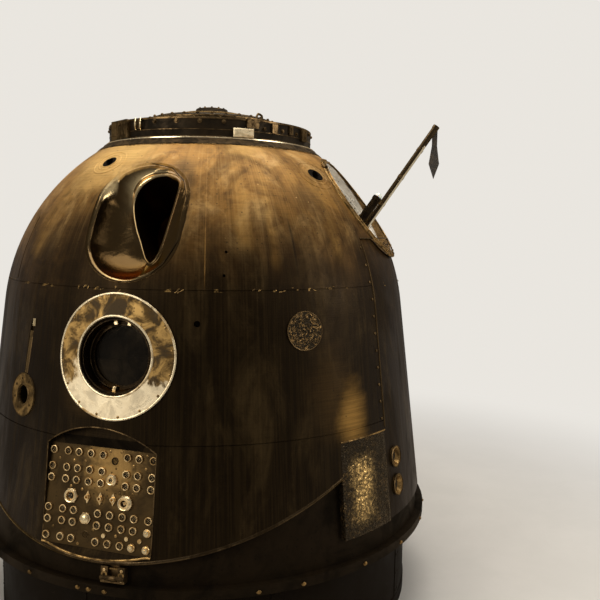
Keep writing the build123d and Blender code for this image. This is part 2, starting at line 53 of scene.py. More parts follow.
# The capsule's skin: a dome on the cone that touches it. Heights are in metres above its base.
hull = {
    "stand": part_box("drum_top")[1][2],
    "baseRadius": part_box("base_ring")[1][0],
    "domeRadius": 0.971,
    "domeAbove": 0.91,
    "upperJoint": 1.13,
    "bandInset": 0.03,
    "tongueAzimuth": -24,
    "tongueLow": 0.118,
    "tongueSlope": 0.56,
    "tongueHalf": 54,
    "windowHeight": 0.88,
}
slant = math.hypot(hull["baseRadius"], hull["domeAbove"])
cone = math.acos(hull["domeRadius"] / slant) - math.atan2(hull["domeAbove"], hull["baseRadius"])
coneTop = hull["domeRadius"] * math.sin(cone)
domeCentre = Vector((0, 0, hull["stand"] + hull["domeAbove"]))
onBase = Matrix.Translation((0, 0, hull["stand"]))
upward = Vector((0, 0, 1))
halvings = 30
skinReach = 0.3


def skinRadius(height):
    above = height - hull["domeAbove"]
    if above > coneTop:
        return math.sqrt(max(hull["domeRadius"] ** 2 - above**2, 0))
    return hull["domeRadius"] * math.cos(cone) + (coneTop - above) * math.tan(cone)


def domeDrop(radius, rise=0.0):
    # How far the dome falls at a radius from the point where it is touched
    return math.sqrt((hull["domeRadius"] + rise) ** 2 - radius**2) - hull["domeRadius"]


def outward(azimuth):
    # 0 faces the camera side, -Y, and 90 faces +X
    turn = math.radians(azimuth)
    return Vector((math.sin(turn), -math.cos(turn), 0))


def sideways(azimuth):
    turn = math.radians(azimuth)
    return Vector((math.cos(turn), math.sin(turn), 0))


def tilted(azimuth, tilt):
    return outward(azimuth) * math.cos(tilt) + upward * math.sin(tilt)


def facing(spot, out, side=None):
    # Place with Z out and X to the right, level where no side is given
    side = side or upward.cross(out).normalized()
    place = Matrix((side, out.cross(side), out)).transposed().to_4x4()
    place.translation = spot
    return place


def placeAt(spot, azimuth, tilt):
    return facing(spot, tilted(azimuth, tilt), sideways(azimuth))


def shifted(place, x, y, z=0.0):
    return place @ Matrix.Translation((x, y, z))


def spun(place, turn, axis="Z"):
    return place @ Matrix.Rotation(turn, 4, axis)


def skinPlace(azimuth, height, inset=0.0):
    above = height - hull["domeAbove"]
    tilt = cone if above < coneTop else math.asin(above / hull["domeRadius"])
    spot = outward(azimuth) * skinRadius(height) + Vector((0, 0, height + hull["stand"]))
    return shifted(placeAt(spot, azimuth, tilt), 0, 0, -inset)


def domePlace(azimuth, elevation):
    tilt = math.radians(elevation)
    return placeAt(domeCentre + tilted(azimuth, tilt) * hull["domeRadius"], azimuth, tilt)


def skinNormal(point):
    radius = max(math.hypot(point.x, point.y), 1e-6)
    tilt = max(math.atan2(point.z - domeCentre.z, radius), cone)
    return Vector((point.x, point.y, 0)) / radius * math.cos(tilt) + upward * math.sin(tilt)


def skinGap(point):
    # How far a point is above the skin
    radius = math.hypot(point.x, point.y)
    if math.atan2(point.z - domeCentre.z, radius) > cone:
        return (point - domeCentre).length - hull["domeRadius"]
    return (radius - skinRadius(point.z - hull["stand"])) * math.cos(cone)


def narrow(over, high):
    # Halves the range from 0 to high down to where the test turns true
    low = 0.0
    for turn in range(halvings):
        middle = (low + high) / 2
        low, high = (low, middle) if over(middle) else (middle, high)
    return high


def meetSkin(start, direction):
    # Where a line that starts under the skin comes out of it
    return start + direction * narrow(lambda share: skinGap(start + direction * share) > 0, skinReach)


# Mesh helpers. A chunk is a list of vertices and a list of faces.
def turnsOf(count, start=0.0):
    return [math.tau * (step + start) / count for step in range(count)]


def shares(count):
    return [step / count for step in range(count + 1)]


def circleSpot(radius, turn, height):
    return Vector((radius * math.cos(turn), radius * math.sin(turn), height))


def spotRing(place, radius, count, rise=0.0, start=0.0):
    # Places round a circle on a place, all facing its way
    return [place @ Matrix.Translation(circleSpot(radius, turn, rise)) for turn in turnsOf(count, start)]


def gridFaces(rows, width, roundRows=True, roundColumns=False):
    # Faces between rows of points, joined up round either way
    faces = []
    for row in range(rows if roundRows else rows - 1):
        here, after = row * width, (row + 1) % rows * width
        for index in range(width if roundColumns else width - 1):
            other = (index + 1) % width
            faces.append((here + index, after + index, after + other, here + other))
    return faces


def lathe(profile, place, steps, closed=False):
    vertices = [place @ circleSpot(radius, turn, height)
                for turn in turnsOf(steps) for radius, height in profile]
    return vertices, gridFaces(steps, len(profile), True, closed)


def hoop(place, low, high, inner, outer, edge, steps):
    # Ring with a flat face and slanting edges
    return lathe([(inner, low), (outer, low + edge), (outer, high - edge), (inner, high)], place, steps, True)


def offset(profile, radius, height=0.0):
    return [(radius + reach, height + level) for reach, level in profile]


def skinWay(start, end, steps, inset=0.0):
    # Places over the skin from one (azimuth, height) to another
    return [skinPlace(*(low + (high - low) * share for low, high in zip(start, end)), inset)
            for share in shares(steps)]


def bead(line, across, up, sides=8, closed=False):
    # Round bead along a surface, by places on it or pairs of a point and the way out
    rows = [item if isinstance(item, tuple) else (item.translation, item.to_3x3() @ upward) for item in line]
    last = len(rows) - 1
    vertices = []
    for index, (point, normal) in enumerate(rows):
        before = rows[index - 1][0] if index or closed else point
        after = rows[(index + 1) % len(rows)][0] if index < last or closed else point
        along = (after - before).normalized()
        side = along.cross(normal).normalized()
        rise = side.cross(along)
        vertices += [point + side * (across * math.cos(turn)) + rise * (up * math.sin(turn))
                     for turn in turnsOf(sides)]
    faces = gridFaces(len(rows), sides, closed, True)
    if not closed:
        faces += [tuple(range(sides)), tuple(last * sides + step for step in reversed(range(sides)))]
    return vertices, faces


def block(place, size, bevel):
    # Box with its foot on the place, with its upper edges cut back
    x, y, z = size[0] / 2, size[1] / 2, size[2]
    corners = ((-1, -1), (1, -1), (1, 1), (-1, 1))
    vertices = [place @ Vector((cornerX * halfX, cornerY * halfY, height))
                for halfX, halfY, height in ((x, y, 0), (x, y, z - bevel), (x - bevel, y - bevel, z))
                for cornerX, cornerY in corners]
    faces = [(3, 2, 1, 0), (8, 9, 10, 11)]
    for ring in (0, 4):
        faces += [(ring + corner, ring + (corner + 1) % 4, ring + (corner + 1) % 4 + 4, ring + corner + 4)
                  for corner in range(4)]
    return vertices, faces


def smoothMesh(mesh, angle):
    mesh.shade_smooth()
    mesh.set_sharp_from_angle(angle=math.radians(angle))


def makeMesh(name, chunks, angle):
    vertices = []
    faces = []
    for points, sides in chunks:
        faces += [tuple(index + len(vertices) for index in side) for side in sides]
        vertices += points
    mesh = bpy.data.meshes.new(name)
    mesh.from_pydata(vertices, [], faces)
    shape = bmesh.new()
    shape.from_mesh(mesh)
    bmesh.ops.remove_doubles(shape, verts=shape.verts, dist=1e-6)
    bmesh.ops.recalc_face_normals(shape, faces=shape.faces)
    shape.to_mesh(mesh)
    shape.free()
    smoothMesh(mesh, angle)
    return mesh


def addObject(name, data):
    made = bpy.data.objects.new(name, data)
    bpy.context.scene.collection.objects.link(made)
    return made


def addPiece(name, shape, finish, body="capsule", angle=35):
    # The shape is a list of chunks or a finished mesh
    mesh = makeMesh(name, shape, angle) if isinstance(shape, list) else shape
    mesh.materials.append(finishes[finish])
    piece = addObject(name, mesh)
    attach(piece, body)
    return piece


# Node helpers
class Signal:
    # A node's output, on which arithmetic adds Math nodes
    def __init__(self, socket):
        self.socket = socket
        self.tree = socket.id_data

    def __mul__(self, other):
        return calc("MULTIPLY", self, other)

    def __add__(self, other):
        return calc("ADD", self, other)

    def __sub__(self, other):
        return calc("SUBTRACT", self, other)

    def __rsub__(self, other):
        return calc("SUBTRACT", other, self)


def plug(socket, value):
    # A list puts several signals on one socket
    for item in value if isinstance(value, list) else [value]:
        if isinstance(item, Signal):
            item.tree.links.new(item.socket, socket)
        else:
            socket.default_value = item


def put(tree, kind, inputs=None, key=0, **settings):
    # Adds a node and gives one of its outputs
    node = tree.nodes.new(kind)
    for name, value in settings.items():
        setattr(node, name, value)
    for name, value in (inputs or {}).items():
        plug(node.inputs[name], value)
    return Signal(node.outputs[key])


def add(kind, inputs, key=0, **settings):
    # Adds a node to the tree that the signals among its inputs belong to
    flat = [item for value in inputs.values() for item in (value if isinstance(value, list) else [value])]
    tree = next(item.tree for item in flat if isinstance(item, Signal))
    return put(tree, kind, inputs, key, **settings)


def calc(operation, *values):
    return add("ShaderNodeMath", dict(enumerate(values)), operation=operation)


def newGroup(name, kind, inputs, outputs):
    # An input is given as its first value, or as its kind where it has none
    group = bpy.data.node_groups.new(name, kind)
    for key, value in inputs.items():
        socketKind = {str: value, int: "Int", float: "Float"}[type(value)]
        socket = group.interface.new_socket(key, in_out="INPUT", socket_type=f"NodeSocket{socketKind}")
        if type(value) is not str:
            socket.default_value = value
    for key, socketKind in outputs.items():
        group.interface.new_socket(key, in_out="OUTPUT", socket_type=f"NodeSocket{socketKind}")
    inlet = group.nodes.new("NodeGroupInput").outputs
    return group, {key: Signal(inlet[key]) for key in inputs}, group.nodes.new("NodeGroupOutput").inputs


# Shader helpers
def ramp(factor, stops):
    node = factor.tree.nodes.new("ShaderNodeValToRGB")
    plug(node.inputs["Fac"], factor)
    band = node.color_ramp
    while len(band.elements) < len(stops):
        band.elements.new(0.5)
    for element, (place, colour) in zip(band.elements, stops):
        element.position = place
        element.color = (*colour, 1)
    return Signal(node.outputs["Color"])


def mixColour(factor, first, second, blend="MIX"):
    first, second = ((*value, 1) if isinstance(value, tuple) else value for value in (first, second))
    return add("ShaderNodeMix", {0: factor, 6: first, 7: second}, 2, data_type="RGBA", blend_type=blend)


def paint(colour, *coats, blend="MIX"):
    # Lays coats of (mask, tint) over a colour
    for mask, tint in coats:
        colour = mixColour(mask, colour, tint, blend)
    return colour


def mapRange(value, low, high, toLow=0.0, toHigh=1.0, kind="SMOOTHSTEP"):
    sockets = {"Value": value, "From Min": low, "From Max": high, "To Min": toLow, "To Max": toHigh}
    return add("ShaderNodeMapRange", sockets, "Result", interpolation_type=kind)


def between(mask, low, high):
    return mapRange(mask, 0.0, 1.0, low, high, "LINEAR")


def eased(mask, low, high):
    return mapRange(mask, 0.0, 1.0, low, high)


def shade(colour, share):
    return tuple(min(channel * share, 1.0) for channel in colour)


def part(coords, axis):
    return add("ShaderNodeSeparateXYZ", {0: coords}, axis)


def join(x, y, z):
    return add("ShaderNodeCombineXYZ", {0: x, 1: y, 2: z})


def measure(coords, other, operation="DOT_PRODUCT"):
    return add("ShaderNodeVectorMath", {0: coords, 1: other}, "Value", operation=operation)


def stretched(coords, scale, rotation=(0, 0, 0)):
    return add("ShaderNodeMapping", {"Vector": coords, "Scale": scale, "Rotation": rotation})


def grainAt(coords, scale, detail, rough=0.5, warp=0.0):
    sockets = {"Vector": coords, "Scale": scale, "Detail": detail, "Roughness": rough, "Distortion": warp}
    return add("ShaderNodeTexNoise", sockets, "Fac")


def rays(tree):
    # Whether a ray comes from the camera, and whether from a reflection
    return [put(tree, "ShaderNodeLightPath", key=f"Is {kind} Ray") for kind in ("Camera", "Glossy")]


def newMaterial(name):
    material = bpy.data.materials.new(name)
    material.use_nodes = True
    return material, put(material.node_tree, "ShaderNodeTexCoord", key="Object")


def dress(material, colour, rough, layers=(), metallic=0.0, gloss=0.5, tint=(1, 1, 1), **more):
    # Bump layers are (height, strength, distance in metres), the broadest first
    bump = {}
    for height, strength, distance in layers:
        sockets = {"Height": height, "Strength": strength, "Distance": distance, **bump}
        bump = {"Normal": add("ShaderNodeBump", sockets)}
    sockets = {"Base Color": colour, "Roughness": rough, "Metallic": metallic, "Specular IOR Level": gloss,
               "Specular Tint": (*tint, 1), **more, **bump}
    shader = material.node_tree.nodes["Principled BSDF"]
    for key, value in sockets.items():
        plug(shader.inputs[key], value)
    return material


# Effects that several finishes share
def maskGroup(name, inputs, build):
    group, inlet, outlet = newGroup(name, "ShaderNodeTree", {"Vector": "Vector", **inputs}, {"Mask": "Float"})
    plug(outlet["Mask"], build(*inlet.values()))
    return group


def effect(group, coords, **values):
    node = coords.tree.nodes.new("ShaderNodeGroup")
    node.node_tree = group
    for key, value in {"Vector": coords, **values}.items():
        plug(node.inputs[key], value)
    return {socket.name: Signal(socket) for socket in node.outputs}


def runsMask(coords, across, along, low, high):
    # Long runs down the body, from noise on the direction round the axis
    x, y, z = (part(coords, axis) for axis in range(3))
    radius = calc("MAXIMUM", calc("SQRT", x * x + y * y), 0.05)
    turned = [calc("DIVIDE", value, radius) * across for value in (x, y)]
    return mapRange(grainAt(join(*turned, z * along), 1.0, 5.0, 0.6), low, high)


def cloudsMask(coords, scale, warp, low, high):
    # Cloudy patches with ragged edges
    return mapRange(grainAt(coords, scale, 8.0, 0.65, warp), low, high)


def pitsMask(coords, scale, size, share):
    # Small round pits or chips of mixed size
    gap = add("ShaderNodeTexVoronoi", {"Vector": coords, "Scale": scale}, "Distance")
    cell = Signal(gap.socket.node.outputs["Color"])
    return calc("LESS_THAN", gap, size) * calc("LESS_THAN", add("ShaderNodeSeparateColor", {0: cell}), share)


def stripeMask(coords, side, out, width, low, high):
    # A soft stripe down the body at one azimuth, between two heights
    fade = 0.09
    wander = (grainAt(coords, 7.0, 3.0) - 0.5) * width
    near = mapRange(calc("ABSOLUTE", measure(coords, side) + wander), width, 0.0)
    ahead = calc("GREATER_THAN", measure(coords, out), 0.0)
    level = part(coords, 2)
    return near * ahead * (mapRange(level, low, low + fade) * mapRange(level, high, high - fade))


def scratchMask(coords, scale, stretch, turn):
    # Fine scratches that run one way
    return grainAt(stretched(coords, stretch, turn), scale, 2.0)


edges = {"Low": 0.4, "High": 0.65}
runsDown = maskGroup("runsDown", {"Across": 30.0, "Along": 1.5, **edges}, runsMask)
cloudPatches = maskGroup("cloudPatches", {"Scale": 5.0, "Warp": 0.2, **edges}, cloudsMask)
smallPits = maskGroup("smallPits", {"Scale": 60.0, "Size": 0.2, "Share": 0.5}, pitsMask)
stripeInputs = {"Side": "Vector", "Out": "Vector", "Width": 0.01, "Low": 1.5, "High": 1.8}
stripeDown = maskGroup("stripeDown", stripeInputs, stripeMask)
scratchInputs = {"Scale": 420.0, "Stretch": "Vector", "Turn": "Vector"}
fineScratches = maskGroup("fineScratches", scratchInputs, scratchMask)
fineGrain = maskGroup("fineGrain", {"Scale": 260.0, "Detail": 3.0}, grainAt)


def runs(coords, across, along, low, high):
    return effect(runsDown, coords, Across=across, Along=along, Low=low, High=high)["Mask"]


def clouds(coords, scale, low, high, warp=0.2):
    return effect(cloudPatches, coords, Scale=scale, Warp=warp, Low=low, High=high)["Mask"]


def pits(coords, scale, size, share):
    return effect(smallPits, coords, Scale=scale, Size=size, Share=share)["Mask"]


def stripe(coords, azimuth, width, low, high):
    return effect(stripeDown, coords, Side=sideways(azimuth), Out=outward(azimuth), Width=width, Low=low,
                  High=high)["Mask"]


def scratches(coords, scale, stretch, turn):
    return effect(fineScratches, coords, Scale=scale, Stretch=stretch, Turn=turn)["Mask"]


def grain(coords, scale, detail):
    return effect(fineGrain, coords, Scale=scale, Detail=detail)["Mask"]


# Stripes in the coat: azimuth, half width, foot and head above the base, share, colour
coatStripes = [
    (-1.5, 0.0035, 1.12, 1.74, 0.5, (0.50, 0.28, 0.08)),
    (8, 0.055, 1.25, 1.72, 0.35, (0.45, 0.25, 0.065)),
    (16, 0.03, 1.18, 1.66, 0.4, (0.39, 0.215, 0.055)),
    (35, 0.045, 1.2, 1.62, 0.35, (0.37, 0.205, 0.05)),
    (21, 0.011, 1.12, 1.44, 0.85, (0.014, 0.009, 0.004)),
    (-7, 0.035, 1.3, 1.64, 0.5, (0.06, 0.034, 0.012)),
    (44, 0.05, 1.1, 1.55, 0.5, (0.035, 0.020, 0.008)),
    (25, 0.035, 1.28, 1.56, 0.35, (0.075, 0.042, 0.015)),
    (-52, 0.08, 1.2, 1.66, 0.35, (0.45, 0.25, 0.065)),
    (112, 0.06, 1.2, 1.68, 0.4, (0.43, 0.24, 0.062)),
    (140, 0.04, 1.15, 1.6, 0.5, (0.05, 0.028, 0.010)),
    (165, 0.07, 1.25, 1.7, 0.35, (0.45, 0.25, 0.065)),
    (-150, 0.05, 1.15, 1.62, 0.45, (0.05, 0.028, 0.010)),
    (-105, 0.06, 1.2, 1.66, 0.4, (0.43, 0.24, 0.062)),
]

# Patches in the coat, two of them painted highlights: azimuth, height, reach, how tall for its width, share,
# colour
coatPatches = [
    (28, 0.70, 0.17, 1.8, 0.5, (0.085, 0.048, 0.016)),
    # Painted highlight: a pale streak on the lower body, where a reflection falls
    (34, 0.60, 0.12, 2.0, 0.85, (0.36, 0.195, 0.048)),
    # Painted highlight: a cream patch by the left lifting socket
    (-40, 1.66, 0.28, 1.0, 0.75, (0.80, 0.51, 0.18)),
    (-10, 1.61, 0.075, 1.2, 0.7, (0.085, 0.048, 0.017)),
    (31, 1.50, 0.085, 1.3, 0.6, (0.10, 0.057, 0.020)),
    (14, 1.70, 0.12, 1.0, 0.5, (0.60, 0.355, 0.10)),
    (-27, 0.72, 0.16, 0.6, 0.4, (0.085, 0.048, 0.016)),
    (150, 1.55, 0.12, 1.3, 0.6, (0.10, 0.057, 0.020)),
    (-160, 1.62, 0.16, 1.0, 0.6, (0.68, 0.42, 0.14)),
    (-92, 1.50, 0.12, 1.3, 0.6, (0.10, 0.057, 0.020)),
]

# The coat's tone by height, partly char and partly painted light at the crown and painted shade low down:
# place on the ramp, colour
coatRamp = [(0.05, (0.0060, 0.0037, 0.0018)), (0.28, (0.0100, 0.0056, 0.0022)),
            (0.40, (0.030, 0.0155, 0.0048)), (0.54, (0.098, 0.050, 0.0135)), (0.68, (0.205, 0.102, 0.023)),
            (0.85, (0.36, 0.182, 0.040))]


def buildCharAndShadingTone():
    # Scorched coat: golden, cloudy and brushed at the crown, nearly black below the upper joint. The fall
    # from crown to base is partly char and partly painted light and painted shade.
    masks = {key: "Float" for key in ("Pale", "Dark", "Fine", "Crown")}
    group, inlet, outlet = newGroup("charAndShadingTone", "ShaderNodeTree", {"Vector": "Vector"},
                                    {"Colour": "Color", **masks})
    coords = inlet["Vector"]
    height = part(coords, 2)
    drift = clouds(coords, 1.9, 0.3, 0.7, 0.4)
    brushed = stretched(coords, (1, 1, 0.28))
    pale = clouds(brushed, 7.5, 0.47, 0.70, 0.6)
    dark = clouds(brushed, 4.6, 0.42, 0.62, 0.7)
    smudge = clouds(coords, 11.0, 0.46, 0.66, 1.0)
    streak = runs(coords, 24.0, 0.6, 0.45, 0.75)
    fine = runs(coords, 130.0, 1.8, 0.42, 0.68)
    bands = grainAt(stretched(coords, (4, 4, 230)), 1.0, 3.0)
    # Lighter and paler towards the crown, darker low down: partly char, partly painted light and painted
    # shade
    crown = mapRange(height, 1.60, 2.02)
    colour = ramp(drift * 0.2 + (height - 1.30), coatRamp)
    for azimuth, width, low, high, share, tint in coatStripes:
        mask = stripe(coords, azimuth, width, low + hull["stand"], high + hull["stand"])
        colour = paint(colour, (mask * share, tint))
    colour = paint(colour, (pale * (crown * 0.5 + 0.05), (0.66, 0.43, 0.17)))
    colour = paint(colour, (dark * 0.7, (0.24, 0.21, 0.19)), (smudge * 0.6, (0.36, 0.31, 0.27)),
                   (streak * 0.4, (0.42, 0.38, 0.35)),
                   (mapRange(bands, 0.45, 0.7, 0.0, 0.28), (0.5, 0.46, 0.42)), blend="MULTIPLY")
    colour = paint(colour, (fine * (crown * 0.15 + 0.015), (0.6, 0.38, 0.14)))
    for azimuth, level, reach, tall, share, tint in coatPatches:
        squat = add("ShaderNodeVectorMath", {0: coords, 1: (1, 1, 1 / tall)}, operation="MULTIPLY")
        spot = skinPlace(azimuth, level).translation
        gap = measure(squat, (spot.x, spot.y, spot.z / tall), "DISTANCE")
        mask = mapRange((drift - 0.5) * (-0.5 * reach) + gap, reach, reach * 0.1)
        colour = paint(colour, (mask * mapRange(bands, 0.35, 0.6, share * 0.7, share), tint))
    for key, value in {"Colour": colour, "Pale": pale, "Dark": dark, "Fine": fine, "Crown": crown}.items():
        plug(outlet[key], value)
    return group


charAndShadingTone = buildCharAndShadingTone()


def charAndShadingSkin(name):
    # The coat, flaked to bright metal along the upper joint, with pits, fine bands and grain
    material, coords = newMaterial(name)
    # The coat's tone holds painted light and painted shade by height as well as char
    coat = effect(charAndShadingTone, coords)
    off = calc("ABSOLUTE", part(coords, 2) - (hull["stand"] + hull["upperJoint"]))
    flaked = clouds(coords, 17.0, 0.58, 0.62, 0.5) * mapRange(off, 0.008, 0.002)
    gold = pits(coords, 38.0, 0.13, 0.06)
    black = pits(coords, 52.0, 0.18, 0.12)
    colour = paint(coat["Colour"], (black * 0.6, (0.008, 0.005, 0.003)),
                   (gold * (coat["Crown"] * 0.5), (0.7, 0.46, 0.19)), (flaked * 0.7, (0.42, 0.26, 0.09)))
    waves = {"Vector": coords, "Scale": 34.0, "Distortion": 1.6, "Detail": 3.0, "Detail Scale": 0.6}
    bands = add("ShaderNodeTexWave", waves, "Fac", bands_direction="Z")
    layers = [(coat["Pale"], 0.3, 0.0014), (coat["Fine"], 0.25, 0.0005), (bands, 0.2, 0.0004),
              (grain(coords, 260.0, 5.0), 0.3, 0.0005), (1 - black, 0.6, 0.0008)]
    rough = coat["Dark"] * 0.16 + (coat["Fine"] * 0.1 + 0.40)
    return dress(material, colour, rough, layers, flaked * 0.5 + 0.15, 0.13, (1, 0.66, 0.34))


def agedMetal(name, bright, dark, scale, metallic, rough, share=(0.42, 0.62), pitting=0.4, dust=0.0,
              gloss=0.35, paintedLight=None):
    # Bare or plated metal with stains in two depths, scratches and pits, darkened with painted shade away
    # from a painted pool of light where one is given
    material, coords = newMaterial(name)
    stain = clouds(coords, scale, *share, 0.8)
    mottle = clouds(coords, scale * 4.7, 0.4, 0.7, 0.5)
    pitted = pits(coords, scale * 14, 0.25, 0.35)
    scratch = scratches(coords, 420.0, (1, 1, 0.05), (0.5, 0.35, 0.2))
    colour = paint(mixColour(stain, bright, dark), (mottle * 0.45, shade(dark, 0.55)),
                   (pitted * pitting, shade(dark, 0.2)))
    # Painted shade: darker with distance from a spot that keeps a painted pool of light
    if paintedLight:
        spot, near, far = paintedLight
        paintedShade = mapRange(mottle * 0.05 + measure(coords, spot, "DISTANCE"), near, far)
        colour = paint(colour, (paintedShade * 0.9, shade(dark, 0.8)))
    if dust:
        colour = paint(colour, (clouds(coords, 2.6, 0.4, 0.8) * dust, (0.2, 0.14, 0.08)))
    layers = [(stain, 0.25, 0.0008), (mottle, 0.3, 0.0004), (scratch, 0.12, 0.0003),
              (1 - pitted, 0.5, 0.0005)]
    return dress(material, colour, scratch * 0.12 + between(stain, *rough), layers, metallic, gloss,
                 (1, 0.8, 0.55))


def pocketFinish(name):
    # The coat where the sheet rolls in, glossy black further down, and painted highlights and painted
    # reflections on its rolled edges
    material, coords = newMaterial(name)
    burn, polish = (put(material.node_tree, "ShaderNodeAttribute", key="Fac", attribute_name=key)
                    for key in ("burn", "polish"))
    smudge = clouds(coords, 11.0, 0.4, 0.7, 0.9)
    haze = clouds(coords, 34.0, 0.45, 0.75, 0.3)
    paintedHighlight = mixColour(haze * 0.35, (1.0, 0.76, 0.40), (0.52, 0.30, 0.095))
    black = mapRange((smudge - 0.5) * 0.2 + burn, 0.04, 0.32)
    # Painted highlights and painted reflections along the rolled edges, by the sheen attribute
    colour = paint(effect(charAndShadingTone, coords)["Colour"], (black, (0.055, 0.033, 0.013)),
                   (polish * eased(haze, 0.95, 0.5), paintedHighlight))
    rough = smudge * 0.10 + (haze * 0.08 + 0.12)
    metallic = calc("MAXIMUM", black * 0.92, polish * 0.4)
    return dress(material, colour, rough, [(smudge, 0.25, 0.002), (haze, 0.2, 0.0004)], metallic, 0.26,
                 (1, 0.62, 0.28))


def paintedBoard(name, colour):
    material, coords = newMaterial(name)
    broad = clouds(coords, 2.2, 0.35, 0.7)
    scuffed = clouds(coords, 26.0, 0.62, 0.68, 1.2)
    tone = paint(colour, (broad, shade(colour, 1.6)), (scuffed * 0.4, shade(colour, 5)))
    layers = [(grain(coords, 320.0, 3.0), 0.25, 0.0004), (scuffed, 0.2, 0.0004)]
    return dress(material, tone, eased(broad, 0.55, 0.75), layers, 0.0, 0.05, (1, 0.7, 0.4))


# Main bay: the middle of its mouth, and the way out of it
bay = {"azimuth": 68.5, "radius": 0.268, "wall": 0.008, "rim": 0.286, "depth": 0.330, "gap": 0.076,
       "bareDepth": 0.063, "bareSlope": 0.09, "ribLevels": (-0.085, -0.17, -0.25), "ribHalf": 0.009,
       "rimBoltCircle": 0.2765, "floorBoltCircle": 0.19, "fittingTurn": math.radians(128),
       "floorBoss": ((0.045, -0.001), (0.045, 0.012), (0.035, 0.016), (0, 0.016))}
flangeTurn = math.acos(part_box("collar_flange")[1][0] / hull["domeRadius"])
bayTurn = flangeTurn - math.asin(bay["rim"] / hull["domeRadius"]) - bay["gap"] / hull["domeRadius"]
bayPlace = domePlace(bay["azimuth"], math.degrees(bayTurn))


def palePaint(name):
    # Pale paint inside the bay, greyer and streaked further in, and bare burnt metal near the mouth
    material, coords = newMaterial(name)
    grime = clouds(coords, 6.0, 0.46, 0.74, 0.5)
    chips = pits(coords, 60.0, 0.2, 0.16)
    colour = paint((0.97, 0.92, 0.82), (grime * 0.4, (0.48, 0.38, 0.24)),
                   (clouds(coords, 19.0, 0.52, 0.75, 1.6) * 0.3, (0.22, 0.16, 0.08)),
                   (chips, (0.08, 0.06, 0.03)))
    out = bayPlace.to_3x3() @ upward
    lower = bayPlace.to_3x3() @ Vector((0, -bay["bareSlope"], 0))
    leaning = measure(coords, lower) - bayPlace.translation.dot(lower)
    level = (grime - 0.5) * 0.006 + measure(coords, out) + leaning
    mouth = bayPlace.translation.dot(out) - bay["bareDepth"]
    bare = mapRange(level, mouth, mouth + 0.006)
    burnt = mixColour(clouds(coords, 15.0, 0.42, 0.62, 0.9), (0.34, 0.205, 0.075), (0.05, 0.030, 0.012))
    rough = eased(grime, 0.35, 0.6)
    return dress(material, mixColour(bare, colour, burnt), rough,
                 [(grime, 0.2, 0.001), (1 - chips, 0.4, 0.0004)], bare * 0.6)


def windowMetal(name):
    # Flange of the window: pale over its lower third, a painted highlight, and stained brown and gold above
    material, coords = newMaterial(name)
    middle = hull["stand"] + hull["windowHeight"]
    level = clouds(coords, 6.0, 0.3, 0.7, 0.8) * -0.16 + part(coords, 2)
    # Painted highlight: the flange stays pale below this mask, stained above it
    stainedAboveHighlight = mapRange(level, middle - 0.20, middle - 0.15)
    stain = clouds(coords, 13.0, 0.38, 0.56, 0.7)
    soot = clouds(coords, 13.0, 0.47, 0.60, 1.1)
    speck = pits(coords, 70.0, 0.22, 0.3)
    scratch = scratches(coords, 300.0, (0.08, 1, 1), (0.2, 0.5, 0.3))
    colour = paint((0.97, 0.82, 0.56), (stainedAboveHighlight, (0.46, 0.285, 0.095)),
                   (stain * between(stainedAboveHighlight, 0.10, 0.95), (0.085, 0.048, 0.016)),
                   (soot * between(stainedAboveHighlight, 0.06, 0.92), (0.050, 0.030, 0.012)),
                   (speck * between(stainedAboveHighlight, 0.15, 0.7), (0.03, 0.019, 0.009)))
    rough = stainedAboveHighlight * 0.12 + (scratch * 0.14 + between(stain, 0.32, 0.5))
    layers = [(stain, 0.25, 0.0008), (soot, 0.4, 0.0006), (scratch, 0.12, 0.0003)]
    return dress(material, colour, rough, layers, between(soot, 0.8, 0.3), tint=(1, 0.85, 0.62))


def crumpledFoil(name, bright, dark, glint, scale, lit=()):
    # Crumpled sheet burnt dark, with bright grains of bare metal, and a painted highlight down its middle
    # where azimuths are given
    material, coords = newMaterial(name)
    lumps = add("ShaderNodeTexVoronoi", {"Vector": coords, "Scale": scale}, "Distance")
    soot = clouds(coords, scale * 0.16, 0.36, 0.62, 0.8)
    grains = clouds(coords, scale * 0.9, 0.47, 0.56, 0.4)
    holes = clouds(coords, scale * 0.55, 0.52, 0.60, 0.7)
    colour = paint(dark, (grains * between(soot, 0.8, 0.05), bright))
    # Painted highlight: a bright stripe of grains down the panel's middle
    for azimuth in lit:
        paintedHighlight = stripe(coords, azimuth, 0.098, 0.55, 0.87)
        colour = paint(colour, (paintedHighlight * between(grains, 0.22, 1.0), glint))
    colour = paint(colour, (holes * 0.8, shade(dark, 0.4)))
    layers = [(mapRange(lumps, 0.0, 0.8), 0.8, 0.0035), (grains, 0.7, 0.0012), (1 - holes, 0.5, 0.001)]
    rough = eased(grains, 0.5, 0.26)
    return dress(material, colour, rough, layers, 0.6, tint=(1, 0.8, 0.55))


def smokedGlass(name):
    material, coords = newMaterial(name)
    film = clouds(coords, 9.0, 0.4, 0.75, 0.5)
    colour = mixColour(film, (0.010, 0.009, 0.008), (0.03, 0.022, 0.014))
    return dress(material, colour, eased(film, 0.04, 0.14), gloss=0.14, tint=(1, 0.8, 0.55),
                 **{"Alpha": eased(film, 0.82, 0.92), "IOR": 1.45})


def frostedLens(name):
    material, coords = newMaterial(name)
    film = clouds(coords, 40.0, 0.4, 0.75, 0.5)
    colour = mixColour(film, (0.86, 0.83, 0.76), (0.62, 0.56, 0.45))
    return dress(material, colour, eased(film, 0.3, 0.5), [(film, 0.2, 0.0004)],
                 **{"Subsurface Weight": 0.2, "Coat Weight": 0.3})


def wovenTape(name):
    material, coords = newMaterial(name)
    warp, weft = (add("ShaderNodeTexWave", {"Vector": coords, "Scale": 190.0}, "Fac", bands_direction=way)
                  for way in "XZ")
    cloth = warp * weft
    colour = paint((0.022, 0.018, 0.014), (clouds(coords, 30.0, 0.4, 0.7), (0.07, 0.05, 0.03)),
                   (cloth * 0.4, (0.10, 0.075, 0.05)))
    return dress(material, colour, 0.8, [(cloth, 0.5, 0.0006)], **{"Sheen Weight": 0.3})


